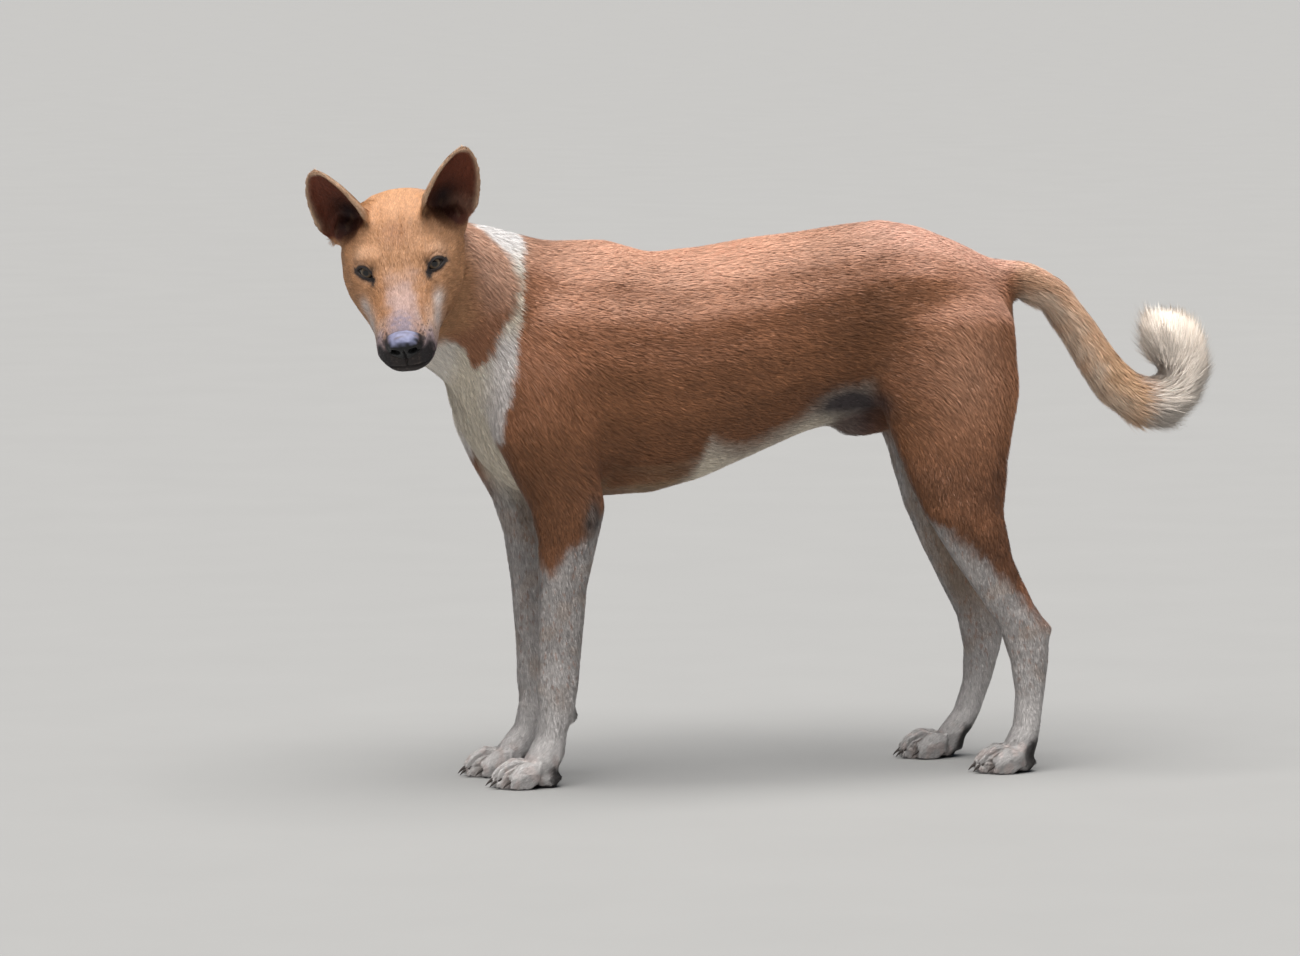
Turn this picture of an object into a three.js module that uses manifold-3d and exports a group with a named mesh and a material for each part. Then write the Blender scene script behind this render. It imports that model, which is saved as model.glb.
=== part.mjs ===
// A South Asian village dog standing with its head turned to its left, life size, as a still display model.
//
// Units are millimetres. The dog faces -X, its left side is towards -Y, +Z is up and the floor is Z = 0.
// The body is modelled whole, from lofted sections and rounded forms joined into one solid, and then parted
// with thin cuts into named pieces. The outline is that of the coat's tips, not of the bare skin.

import * as THREE from "three";
import { mergeVertices } from "three/addons/utils/BufferGeometryUtils.js";
import Module from "manifold-3d";

const wasm = await Module();
wasm.setup();

// ---------------------------------------------------------------- driving dimensions

const GAP = 0.3; // clearance left by every cut
const WITHERS = 544; // height of the shoulders
const BACK = 529; // lowest point of the back, behind the shoulders
const CROUP = 558; // height of the hips
const BRISKET = 283; // lowest point of the chest
const TUCK = 351; // height of the belly at the waist
const CHEST_HALF = 87; // half of the chest's width
const WAIST_HALF = 63; // half of the waist's width
const HIP_HALF = 66; // half of the hips' width

// Each paw's distance from the middle plane, and the X of its middle claws' ends.
const FORE_PAW = { left: { out: 41, tip: -285 }, right: { out: 50, tip: -291 } };
const HIND_PAW = { left: { out: 68, tip: 211 }, right: { out: 57, tip: 171 } };
const SHOULDER_Z = 455;
const ELBOW_Z = 282;
const HIP_Z = 470;
const STIFLE_Z = 258;
const HOCK_Z = 150;
const PAW_CUT_Z = 60;
const CLAW_LENGTH = 11;

const HEAD_AT = new THREE.Vector3(-390.3, -121, 522.7); // the point midway between the eyes
const HEAD_TURN = { yaw: 76.2, pitch: -40.2, roll: -8.6 }; // degrees, from facing straight ahead
const EYE_RADIUS = 11;

// Each eyeball's centre in the head's frame: behind its origin, out from the middle plane, and up.
const EYES = { left: { behind: 9.4, out: 31, up: -3 }, right: { behind: 9.4, out: 31.5, up: -4.6 } };
const MOUTH_Z = -44; // height of the mouth's line in the head's frame
const EAR_HALF = 27.5;
const EARS = {
  left: { out: 43, up: 8, lean: 0.33, length: 87 },
  right: { out: 48, up: 1, lean: 0.25, length: 83 },
};

const SMALL = 0.5; // least radius of a loft's end
const SIDES = { trunk: 16, neck: 12, head: 14, leg: 10, tail: 9, toe: 6, claw: 3 };

// ---------------------------------------------------------------- shape tools

const vec = (x, y, z) => new THREE.Vector3(x, y, z);
const X = vec(1, 0, 0);
const Y = vec(0, 1, 0);
const Z = vec(0, 0, 1);
const degrees = THREE.MathUtils.degToRad;

// A manifold solid from a geometry whose faces may point either way.
function solid(geometry, matrix = new THREE.Matrix4()) {
  const bare = new THREE.BufferGeometry().setAttribute("position", geometry.getAttribute("position"));
  bare.setIndex(geometry.index);
  bare.applyMatrix4(matrix);
  const merged = mergeVertices(bare, 1e-4);
  const mesh = (triVerts) =>
    new wasm.Manifold(
      new wasm.Mesh({ numProp: 3, vertProperties: merged.attributes.position.array, triVerts }),
    );
  const triVerts = new Uint32Array(merged.index.array);
  const made = mesh(triVerts);
  if (made.volume() > 0) return made;
  return mesh(triVerts.reverse());
}

function geometryOf(made) {
  const { vertProperties, triVerts, numProp, numVert } = made.getMesh();
  const places = new Float32Array(numVert * 3);
  for (let i = 0; i < numVert; i++) places.set(vertProperties.subarray(i * numProp, i * numProp + 3), i * 3);
  const geometry = new THREE.BufferGeometry();
  geometry.setAttribute("position", new THREE.BufferAttribute(places, 3));
  geometry.setIndex(new THREE.BufferAttribute(new Uint32Array(triVerts), 1));
  geometry.computeVertexNormals();
  return geometry;
}

// A power that keeps the sign, for sections between a diamond and a box.
const power = (value, square) => Math.sign(value) * Math.abs(value) ** (2 / square);

// A curve through one triple of numbers of each station.
const through = (stations, triple) =>
  new THREE.CatmullRomCurve3(stations.map((s) => vec(...triple(s))), false, "catmullrom", 0.5);

// A closed body through rounded sections. A station gives its centre as at, its half width as side, its reach
// above and below the centre as up and down, and how square it is as top and bottom (2 is an ellipse). across
// and upward are the sections' axes. Without upward, each section stands square to the path.
function loft(stations, { sides, rings = stations.length - 1, across = Y, upward = null }) {
  const centres = through(stations, (s) => s.at);
  const sizes = through(stations, (s) => [s.side, s.up, s.down ?? s.up]);
  const squares = through(stations, (s) => [s.top ?? 2, s.bottom ?? 2, 0]);
  const places = [];
  const faces = [];
  for (let i = 0; i <= rings; i++) {
    const centre = centres.getPoint(i / rings);
    const size = sizes.getPoint(i / rings);
    const square = squares.getPoint(i / rings);
    let u = across.clone();
    let v = upward;
    if (!upward) {
      const tangent = centres.getTangent(i / rings);
      v = tangent.clone().cross(u).normalize();
      u = v.clone().cross(tangent).normalize();
    }
    for (let k = 0; k < sides; k++) {
      const angle = (2 * Math.PI * k) / sides;
      const above = Math.sin(angle) >= 0;
      const sideways = Math.max(size.x, SMALL) * power(Math.cos(angle), above ? square.x : square.y);
      const length = Math.max(above ? size.y : size.z, SMALL);
      const reach = length * power(Math.sin(angle), above ? square.x : square.y);
      const place = centre.clone().addScaledVector(u, sideways).addScaledVector(v, reach);
      places.push(place.x, place.y, place.z);
    }
    if (i === 0) continue;
    for (let k = 0; k < sides; k++) {
      const here = i * sides + k;
      const next = i * sides + ((k + 1) % sides);
      faces.push(here - sides, here, next, here - sides, next, next - sides);
    }
  }
  for (const [ring, flip] of [[0, false], [rings, true]]) {
    const middle = centres.getPoint(ring / rings);
    const hub = places.length / 3;
    places.push(middle.x, middle.y, middle.z);
    for (let k = 0; k < sides; k++) {
      const here = ring * sides + k;
      const next = ring * sides + ((k + 1) % sides);
      faces.push(...(flip ? [hub, next, here] : [hub, here, next]));
    }
  }
  const geometry = new THREE.BufferGeometry();
  geometry.setAttribute("position", new THREE.BufferAttribute(new Float32Array(places), 3));
  geometry.setIndex(faces);
  return geometry;
}

// An ellipsoid, turned by Euler angles in degrees.
function ellipsoid(at, radii, turn = [0, 0, 0], detail = 8) {
  const geometry = new THREE.SphereGeometry(1, detail, Math.round(detail * 0.6));
  return geometry.applyMatrix4(placed(at, turn, radii));
}

function placed(at, turn = [0, 0, 0], scale = [1, 1, 1]) {
  const quaternion = new THREE.Quaternion().setFromEuler(new THREE.Euler(...turn.map(degrees), "ZYX"));
  return new THREE.Matrix4().compose(vec(...at), quaternion, vec(...scale));
}

// ---------------------------------------------------------------- trunk, neck and tail

// A trunk section from its back's height, its belly's height, its widest level and its half width there.
const girth = (x, top, belly, level, half, shape = {}) => ({
  at: [x, 0, level],
  side: half,
  up: top - level,
  down: level - belly,
  ...shape,
});

const trunk = loft(
  [
    girth(-314, 420, 388, 404, 10),
    girth(-306, 440, 366, 406, 26),
    girth(-290, 470, 334, 410, 46),
    girth(-260, 516, 299, 420, 66, { bottom: 1.9 }),
    girth(-218, WITHERS - 2, 286, 422, 80, { top: 1.8, bottom: 1.9 }),
    girth(-150, WITHERS - 1, BRISKET + 1, 420, CHEST_HALF, { top: 1.9, bottom: 1.9 }),
    girth(-92, BACK - 1, 287, 416, CHEST_HALF, { bottom: 1.95 }),
    girth(-28, 540, 308, 428, 82),
    girth(36, 546, 336, 442, 71),
    girth(92, 554, TUCK, 454, WAIST_HALF),
    girth(140, CROUP, 362, 462, HIP_HALF, { top: 2.2 }),
    girth(188, 547, 378, 462, HIP_HALF, { top: 2.2 }),
    girth(232, 527, 392, 458, 54),
    girth(262, 511, 406, 452, 34),
    girth(274, 486, 424, 450, 14),
  ],
  { sides: SIDES.trunk, rings: 17, upward: Z },
);

const neck = loft(
  [
    { at: [-170, 0, 432], side: 62, up: 80, down: 96 },
    { at: [-228, -2, 456], side: 68, up: 92, down: 118 },
    { at: [-275, -10, 486], side: 61, up: 74, down: 97 },
    { at: [-320, -28, 508], side: 54, up: 60, down: 92 },
    { at: [-352, -50, 524], side: 50, up: 50, down: 76 },
    { at: [-370, -68, 536], side: 40, up: 38, down: 44 },
  ],
  { sides: SIDES.neck, rings: 8, across: vec(0.35, -0.94, 0) },
);

const brush = (x, z, radius) => ({ at: [x, 0, z], side: radius * 0.96, up: radius });
const tail = loft(
  [
    brush(234, 499, 20),
    brush(262, 497, 20),
    brush(287, 493, 18.4),
    brush(307, 486, 17),
    brush(323, 474, 17.5),
    brush(349, 441, 20),
    brush(374, 404, 22.5),
    brush(400, 374, 25.5),
    brush(428, 365, 25.5),
    brush(448, 374, 24.5),
    brush(459, 393, 25.5),
    brush(455, 412, 27),
    brush(445, 429, 25),
    brush(437, 441, 15),
    brush(434, 447, 5),
  ],
  { sides: SIDES.tail, rings: 17 },
);

const sheath = loft(
  [
    { at: [84, 0, 350], side: 4, up: 4 },
    { at: [93, 0, 349], side: 11, up: 11 },
    { at: [113, 0, 350], side: 13, up: 13 },
    { at: [140, 0, 356], side: 13, up: 15 },
    { at: [162, 0, 364], side: 8, up: 8 },
  ],
  { sides: 10, upward: Z },
);

// ---------------------------------------------------------------- legs

// One leg as level sections from the top down. Each gives its height, the X of its front and of its back, its
// half width, its distance out from the middle plane and how far the pose carries it along X.
const slice = (z, front, back, half, out, carry = 0) => ({ z, front, back, half, out, carry });

function leg(slices, sign, grow = 0) {
  return loft(
    slices.map((s) => ({
      at: [(s.front + s.back) / 2 + s.carry, sign * s.out, s.z],
      side: s.half + grow,
      up: (s.back - s.front) / 2 + grow,
    })),
    { sides: SIDES.leg, rings: Math.round(slices.length * 0.75), upward: X.clone().negate() },
  );
}

const foreSlices = (out, carry) => [
  slice(520, -244, -196, 9, 36, carry.arm),
  slice(480, -264, -182, 23, 49, carry.arm),
  slice(430, -282, -168, 31, 56, carry.arm),
  slice(385, -290, -163, 34, 56, carry.arm),
  slice(345, -282, -167, 34, 55, carry.arm),
  slice(315, -266, -171, 30, 54, carry.arm),
  slice(284, -247, -166, 26, 53, carry.arm),
  slice(257, -236, -168, 23, 49, carry.elbow),
  slice(226, -235, -179, 20, 46, carry.forearm),
  slice(180, -232, -183, 18, out + 1, carry.forearm / 4),
  slice(134, -233, -187, 17, out, carry.wrist / 3),
  slice(104, -234, -190, 19, out, carry.wrist),
  slice(84, -232, -192, 18.5, out, carry.wrist),
  slice(62, -233, -200, 15.5, out, carry.wrist),
  slice(42, -237, -205, 17.5, out, 0),
  slice(24, -248, -206, 20, out, carry.paw),
  slice(8, -248, -212, 16, out, carry.paw),
];

const hindSlices = (out, carry) => [
  slice(516, 140, 222, 9, 38, carry.hip),
  slice(470, 114, 262, 29, 42, carry.hip),
  slice(415, 108, 273, 37, 45, carry.hip),
  slice(355, 122, 263, 36, 49, carry.thigh),
  slice(306, 146, 251, 29, 54, carry.thigh),
  slice(262, 163, 247, 25, out - 5, carry.thigh * 0.7),
  slice(228, 184.5, 253, 21, out - 3, carry.thigh * 0.45),
  slice(186, 213, 269, 15.5, out, carry.thigh * 0.1),
  slice(160, 233, 286, 14.5, out, carry.thigh * -0.1),
  slice(140, 243, 297.5, 16, out, carry.foot * 0.15),
  slice(112, 253, 294, 15.5, out, carry.foot * 0.32),
  slice(86, 258, 291, 14, out, carry.foot * 0.5),
  slice(58, 258, 286.5, 14.5, out, carry.foot * 0.75),
  slice(38, 254.5, 284, 17, out, carry.foot),
  slice(24, 246, 281, 19, out, carry.foot * 1.2),
  slice(8, 244, 276, 16, out, carry.foot * 1.3),
];

// Four toes, their claws, and the pads under them, of which the largest is at heel.
function paw(tip, heel, out) {
  const forms = [];
  const direction = Math.sign(out);
  for (const [offset, back] of [[-16.5, 13], [-6, 0], [6, 1], [16.5, 12]]) {
    const y = out + direction * offset;
    const end = tip + CLAW_LENGTH - 3 + back;
    const knuckle = (x, z, side, up, down) => ({ at: [x, y, z], side, up, down });
    forms.push(
      loft(
        [
          knuckle(end + 31, 19, 6.5, 8, 12),
          knuckle(end + 19, 17, 8.5, 11.5, 20.5),
          knuckle(end + 7, 12, 8.3, 11, 15),
          knuckle(end - 1, 8, 4, 5, 6),
        ],
        { sides: SIDES.toe, upward: Z },
      ),
      loft(
        [
          knuckle(end + 2, 11, 3, 3.6),
          knuckle(end + 3 - CLAW_LENGTH, 4.5, 0.6, 0.6),
        ],
        { sides: SIDES.claw, upward: Z },
      ),
    );
  }
  forms.push(ellipsoid([heel - 19, out, 10], [20, 18, 13], [0, 0, 0], 6));
  return forms;
}

// ---------------------------------------------------------------- head, in a frame of its own

// The head's own frame has its origin midway between the eyes. It faces -X with the bridge of the nose level.
const headMatrix = placed(HEAD_AT.toArray(), [HEAD_TURN.roll, HEAD_TURN.pitch, HEAD_TURN.yaw]);

// A head section from its distance ahead of the eyes, its top, its widest level, its bottom and half width.
const profile = (ahead, top, level, bottom, half, shape = {}) => ({
  at: [-ahead, 0, level],
  side: half,
  up: top - level,
  down: level - bottom,
  ...shape,
});

const skull = loft(
  [
    profile(91, -12, -26, -42, 10),
    profile(88, -8, -28, -54, 20, { bottom: 2.3 }),
    profile(80, -6, -33, -62, 26, { bottom: 2.3 }),
    profile(67, -5.5, -35, -65, 29, { bottom: 2.3 }),
    profile(52, -5, -36, -66, 30.5, { bottom: 2.2 }),
    profile(39, -4, -36, -67, 33.5),
    profile(25, -2, -36, -69, 39),
    profile(12, 4, -34, -72, 47),
    profile(0, 10, -30, -75, 54, { top: 2.3 }),
    profile(-15, 16, -21, -78, 59, { top: 2.2 }),
    profile(-34, 22, -14, -79, 62),
    profile(-60, 25, -10, -74, 61),
    profile(-84, 23.5, -8, -62, 53),
    profile(-101, 17, -6, -48, 41),
    profile(-113, 5, -8, -30, 24),
    profile(-118, -4, -12, -20, 8),
  ],
  { sides: SIDES.head, rings: 13, upward: Z },
);

// One ear as a cupped shell that opens forward. It is widest low down and has a rounded tip.
function ear(sign, { out, up, lean, length }) {
  const along = 6;
  const around = 6;
  const rooted = 0.16; // how much of the length is sunk in the head below the ear's base
  const axis = vec(0.12, sign * lean, 0.935).normalize();
  const open = vec(-0.9, sign * 0.4, 0);
  open.addScaledVector(axis, -open.dot(axis)).normalize();
  const lateral = axis.clone().cross(open).multiplyScalar(sign).normalize();
  const base = vec(60, sign * out, up);
  const layers = [];
  for (const back of [0, 1]) {
    for (let i = 0; i <= along; i++) {
      const s = (1 + rooted) * Math.sin((i / along) * Math.PI * 0.5) ** 0.9 - rooted;
      const above = Math.max(s, 0);
      const half = EAR_HALF * (1 - above ** 2.6) ** 0.7 * (s < 0 ? 1 + 2 * s : 1) + 2.2;
      const cup = degrees(82 - 40 * above);
      const radius = half / Math.sin(cup);
      for (let k = 0; k <= around; k++) {
        const across = (2 * k) / around - 1;
        const thick = back * (5.5 - 2.5 * Math.abs(across)) * (1 - 0.35 * above);
        const point = base
          .clone()
          .addScaledVector(axis, length * s)
          .addScaledVector(lateral, (radius + thick) * Math.sin(cup * across))
          .addScaledVector(open, radius * Math.cos(cup) - (radius + thick) * Math.cos(cup * across) + 9);
        layers.push(point.x, point.y, point.z);
      }
    }
  }
  const row = around + 1;
  const layer = row * (along + 1);
  const faces = [];
  const quad = (a, b, c, d) => faces.push(a, b, c, a, c, d);
  for (let i = 0; i < along; i++) {
    for (let k = 0; k < around; k++) {
      const a = i * row + k;
      quad(a, a + 1, a + row + 1, a + row);
      quad(layer + a, layer + a + row, layer + a + row + 1, layer + a + 1);
    }
    const first = i * row;
    const last = first + around;
    quad(first, first + row, layer + first + row, layer + first);
    quad(last, layer + last, layer + last + row, last + row);
  }
  for (let k = 0; k < around; k++) {
    const end = along * row + k;
    quad(k, layer + k, layer + k + 1, k + 1);
    quad(end, end + 1, layer + end + 1, layer + end);
  }
  const geometry = new THREE.BufferGeometry();
  geometry.setAttribute("position", new THREE.BufferAttribute(new Float32Array(layers), 3));
  geometry.setIndex(faces);
  return geometry;
}

const headForms = [skull, ellipsoid([-85.5, 0, -17], [10.5, 16, 12])];
for (const [name, sign] of [["left", -1], ["right", 1]]) {
  const eye = EYES[name];
  headForms.push(
    ellipsoid([eye.behind + 0.6, sign * (eye.out - 0.5), eye.up - 1], [14.2, 15.6, 14.2], [0, 0, 0], 10), // the lids
    ellipsoid([22, sign * 27, 5], [25, 18, 11], [0, 0, 0], 10), // the brow
    ellipsoid([66, sign * 51, -9], [20, 16, 24], [-sign * 12, 0, 0], 6), // the ear's root
    ear(sign, EARS[name]),
  );
}

// ---------------------------------------------------------------- the whole body

const CARRY = {
  left: { arm: 0, elbow: 0, forearm: 0, wrist: 0, paw: 0, hip: 0, thigh: 0, foot: 0 },
  right: { arm: -11, elbow: -11, forearm: -8, wrist: 4, paw: -5, hip: 8, thigh: 22, foot: -24 },
};

const bodyForms = [trunk, neck, tail, sheath];
bodyForms.push(ellipsoid([-210, 0, 492], [66, 34, 52])); // the withers
for (const [name, sign] of [["left", -1], ["right", 1]]) {
  const carry = CARRY[name];
  const fore = FORE_PAW[name];
  const hind = HIND_PAW[name];
  bodyForms.push(
    leg(foreSlices(fore.out, carry), sign),
    leg(hindSlices(hind.out, carry), sign),
    ellipsoid([-199 + carry.wrist, sign * (fore.out + 2), 72], [8, 6, 10]), // the wrist's pad
    ...paw(fore.tip, fore.tip + 79, sign * fore.out),
    ...paw(hind.tip, hind.tip + 71, sign * hind.out),
  );
}

let body = wasm.Manifold.union([
  ...bodyForms.map((form) => solid(form)),
  ...headForms.map((form) => solid(form, headMatrix)),
]).trimByPlane([0, 0, 1], 0);

// ---------------------------------------------------------------- eyes

const pieces = {};
for (const [name, sign] of [["left", -1], ["right", 1]]) {
  const { behind, out, up } = EYES[name];
  const at = vec(behind, sign * out, up);
  const look = vec(-0.92, sign * 0.33, 0.12);
  const front = at.clone().addScaledVector(look, 14);
  const ball = (radius) => new THREE.SphereGeometry(radius, 10, 7).applyMatrix4(placed(at.toArray()));
  const opening = ellipsoid(front.toArray(), [13, 11.5, 6.5], [sign * 12, 0, -sign * 20], 10);
  body = body.subtract(solid(ball(EYE_RADIUS + GAP), headMatrix)).subtract(solid(opening, headMatrix));
  pieces[`eye_${name}`] = solid(ball(EYE_RADIUS), headMatrix);
}

// ---------------------------------------------------------------- thin cuts

// Takes what lies inside a cutter off the body as a piece of its own. cutter(grow) is a solid, larger all round
// by grow, so that the gap is left round the piece.
function part(name, cutter) {
  pieces[name] = largest(body.intersect(cutter(0)));
  body = body.subtract(cutter(GAP));
}

// A cutter from a box's corners in its own frame, which matrix places.
const box = (low, high, matrix = new THREE.Matrix4()) => (grow) => {
  const size = high.map((h, i) => h - low[i] + 2 * grow);
  const middle = high.map((h, i) => (h + low[i]) / 2);
  return solid(new THREE.BoxGeometry(...size).translate(...middle), matrix);
};

// A cutter that follows a leg where it is sunk in the trunk, between two heights.
const limb = (slices, sign, bottom, top) => (grow) =>
  solid(leg(slices, sign, grow))
    .trimByPlane([0, 0, 1], bottom - grow)
    .trimByPlane([0, 0, -1], -top - grow);

// Leaves out slivers that a cut has parted from the rest of its piece.
function largest(made) {
  return made.decompose().sort((a, b) => b.volume() - a.volume())[0];
}

const FAR = 400;
const inHead = (turn, at = [0, 0, 0]) => headMatrix.clone().multiply(placed(at, turn));

part("nose", box([-110, -17.5, -31], [-80, 17.5, -3], headMatrix));
part("lower_jaw", box([-110, -60, -90], [-30, 60, MOUTH_Z], headMatrix));
part("muzzle", box([-110, -60, -90], [-24, 60, 30], headMatrix));
for (const [name, sign] of [["left", -1], ["right", 1]]) {
  part(`ear_${name}`, box([-60, -60, 0], [60, 60, 140], inHead([-sign * 32, 6, 0], [58, sign * 44, 5])));
}
part("head", box([-200, -150, -95], [0, 150, 200], inHead([0, 29, -24], [84, 0, -30])));

for (const [name, sign] of [["left", -1], ["right", 1]]) {
  const fore = foreSlices(FORE_PAW[name].out, CARRY[name]);
  const hind = hindSlices(HIND_PAW[name].out, CARRY[name]);
  const between = (inner, outer, front, back, bottom, top) => {
    const [low, high] = sign < 0 ? [-outer, -inner] : [inner, outer];
    return box([front, low, bottom], [back, high, top]);
  };
  part(`foreleg_${name}_paw`, between(2, 110, -320, -120, -5, PAW_CUT_Z));
  part(`foreleg_${name}_forearm`, between(2, 110, -320, -120, PAW_CUT_Z, ELBOW_Z));
  part(`foreleg_${name}_upper`, limb(fore, sign, ELBOW_Z, SHOULDER_Z));
  part(`hindleg_${name}_paw`, between(4, 120, 120, 340, -5, PAW_CUT_Z));
  part(`hindleg_${name}_foot`, between(4, 120, 120, 340, PAW_CUT_Z, HOCK_Z));
  part(`hindleg_${name}_shank`, between(4, 120, 100, 340, HOCK_Z, STIFLE_Z));
  part(`hindleg_${name}_thigh`, limb(hind, sign, STIFLE_Z, HIP_Z));
}

part("neck", box([-200, -200, -60], [0, 200, 300], placed([-268, 0, 422], [0, 40, 0])));
part("tail_tip", box([409, -60, 300], [560, 60, 520]));
part("tail_middle", box([334, -60, 300], [480, 60, 520]));
part("tail_base", box([277, -60, 300], [480, 60, 560]));
part("sheath", box([60, -18, 300], [164, 18, 346]));
part("rump", box([112, -FAR, 0], [480, FAR, 700]));
part("loin", box([-20, -FAR, 0], [480, FAR, 700]));
pieces.chest = largest(body);

// ---------------------------------------------------------------- the finished group

const TAN = { color: 0xb07a50, roughness: 0.8 };
const CREAM = { color: 0xc9bfae, roughness: 0.8 };
const DARK = { color: 0x2b2725, roughness: 0.45 };
const EYE = { color: 0x3a2a1c, roughness: 0.1 };
const finishOf = (name) => {
  if (name.startsWith("eye")) return EYE;
  if (name === "nose") return DARK;
  if (/forearm|foot|shank|paw|tail_tip|lower_jaw|sheath/.test(name)) return CREAM;
  return TAN;
};

const dog = new THREE.Group();
dog.name = "dog";
for (const [name, made] of Object.entries(pieces)) {
  const mesh = new THREE.Mesh(geometryOf(made), new THREE.MeshStandardMaterial(finishOf(name)));
  mesh.name = name;
  dog.add(mesh);
}

// The origin is on the floor under the middle of the whole model.
const bounds = new THREE.Box3().setFromObject(dog);
const middle = bounds.getCenter(vec(0, 0, 0));
dog.position.set(-middle.x, -middle.y, -bounds.min.z);

export default dog;
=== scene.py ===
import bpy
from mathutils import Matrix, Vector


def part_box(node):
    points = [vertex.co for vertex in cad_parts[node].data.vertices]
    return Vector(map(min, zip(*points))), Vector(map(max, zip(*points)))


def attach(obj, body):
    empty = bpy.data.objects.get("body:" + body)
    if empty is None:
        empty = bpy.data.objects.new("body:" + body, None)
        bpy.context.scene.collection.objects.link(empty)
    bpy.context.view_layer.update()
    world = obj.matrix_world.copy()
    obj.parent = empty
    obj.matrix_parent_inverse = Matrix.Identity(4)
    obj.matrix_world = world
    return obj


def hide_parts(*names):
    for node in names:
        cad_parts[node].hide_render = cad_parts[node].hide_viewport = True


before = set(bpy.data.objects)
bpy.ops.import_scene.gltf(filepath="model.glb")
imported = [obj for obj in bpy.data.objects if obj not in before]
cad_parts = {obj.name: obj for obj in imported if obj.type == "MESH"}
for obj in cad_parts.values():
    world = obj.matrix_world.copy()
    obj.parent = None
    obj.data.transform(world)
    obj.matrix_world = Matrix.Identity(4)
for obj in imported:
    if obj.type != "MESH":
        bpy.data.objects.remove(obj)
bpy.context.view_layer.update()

# A short-haired tan and white dog, standing with its head turned to its left.
# Shapes are worked out in the CAD program's millimetres, called body coordinates here, and turned into the
# frame's metres at the end. The head has a frame of its own: it faces -X, its left is -Y and up is +Z.
# In the code, p are points in body coordinates, q the same points in the head's frame, and n their normals.

import math

import bmesh
import bpy
import numpy as np
from mathutils import Matrix, Vector

RNG = np.random.default_rng(11)

# ---------------- sizes, in millimetres

HEAD_AT = np.array([-390.3, -121.0, 522.7])
HEAD_TURN = (-8.6, -40.2, 76.2)  # roll, pitch and yaw in degrees
EYE_RADIUS = 11.0
EYES = {"left": (9.4, -31.0, -3.0), "right": (9.4, 31.5, -4.6)}
SIDES = {"left": -1, "right": 1}
EARS = (
    dict(sign=-1, out=43, up=8, lean=0.33, length=87),
    dict(sign=1, out=48, up=1, lean=0.25, length=83),
)
FORE_PAWS = ((-1, -41, -285), (1, 50, -291))  # side, Y of the paw's middle, and X of the middle claws' ends
HIND_PAWS = ((-1, -68, 211), (1, 57, 171))
PAWS = FORE_PAWS + HIND_PAWS
TOES = ((-16.5, 13), (-6, 0), (6, 1), (16.5, 12))  # each toe's offset sideways and back
CLAW_LENGTH = 11
VOXEL = 1.6
CUT = 0.35  # half of a CAD cut, and a little more, so that the pieces meet again
SKIN_TRIANGLES = 190_000
HAIRS = 640_000
HAIRS_PER_PIECE = 98_000

# ---------------- number helpers


def ramp(low, high, value):
    """0 up to low and 1 from high on, with a smooth rise between them."""
    t = np.clip((value - low) / (high - low), 0, 1)
    return t * t * (3 - 2 * t)


def bell(value, middle, width):
    return np.exp(-(((value - middle) / width) ** 2))


def line_at(value, stations):
    """The height at value of a line through (place, height) stations."""
    keys = sorted(stations)
    return np.interp(value, [k for k, _ in keys], [v for _, v in keys])


def unit(v):
    return v / np.maximum(np.linalg.norm(v, axis=-1, keepdims=True), 1e-9)


def flattened(way, n):
    """The part of a direction that lies along the skin, at unit length."""
    return unit(way - n * (way * n).sum(axis=1)[:, None])


def blob(p, centre, radii):
    """1 at the centre, falling smoothly to 0 at about twice the radii."""
    q = (p - np.array(centre)) / np.array(radii)
    return np.exp(-0.9 * (q * q).sum(axis=1))


def mix(base, over, w):
    """Rows of base where w is 0 and of over where it is 1; either may be a single row."""
    return np.asarray(base) * (1 - w)[:, None] + np.asarray(over) * w[:, None]


def layered(rows, *layers):
    """Mixes (row or rows, weight) layers over rows, one after the other."""
    for over, w in layers:
        rows = mix(rows, over, w)
    return rows


def highest(*values):
    return np.maximum.reduce(values)


def fade(base, over, w):
    return base * (1 - w) + w * over


def turn(roll, pitch, yaw):
    r, p, y = (math.radians(a) for a in (roll, pitch, yaw))
    about_x = np.array([[1, 0, 0], [0, math.cos(r), -math.sin(r)], [0, math.sin(r), math.cos(r)]])
    about_y = np.array([[math.cos(p), 0, math.sin(p)], [0, 1, 0], [-math.sin(p), 0, math.cos(p)]])
    about_z = np.array([[math.cos(y), -math.sin(y), 0], [math.sin(y), math.cos(y), 0], [0, 0, 1]])
    return about_z @ about_y @ about_x


HEAD_AXES = turn(*HEAD_TURN)


def to_head(p):
    return (p - HEAD_AT) @ HEAD_AXES


def from_head(q):
    return HEAD_AT + np.asarray(q, float) @ HEAD_AXES.T


def waves(seed, size, count=14):
    """A smooth random function of place, about -1 to 1, whose lumps are about size across."""
    rng = np.random.default_rng(seed)
    way = unit(rng.normal(size=(count, 3))) * rng.uniform(0.7, 1.5, (count, 1)) * 2 * math.pi / (size * 2)
    phase = rng.uniform(0, 2 * math.pi, count)

    def value(p):
        return np.sin(p @ way.T + phase).sum(axis=1) / math.sqrt(count / 2) * 0.7

    return value


WOBBLE = waves(2, 15)
WOBBLE_FINE = waves(3, 5)
MOTTLE = waves(4, 60)
SPECKLE = waves(5, 2.6)

low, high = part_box("eye_left")
SHIFT = from_head(EYES["left"]) - np.array((low + high) / 2) * 1000


def to_metres(p):
    return (p - SHIFT) / 1000


# ---------------- regions of the body

NECK_CUT = np.array([84.0, 0.0, -30.0])
NECK_WAY = np.array([0.799, -0.356, -0.485])


def on_head(p):
    q = to_head(p)
    return ramp(16, -16, (q - NECK_CUT) @ NECK_WAY) * ramp(-112, -88, q[:, 2])


def on_tail(p):
    return ramp(262, 292, p[:, 0]) * ramp(330, 350, p[:, 2])


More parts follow.
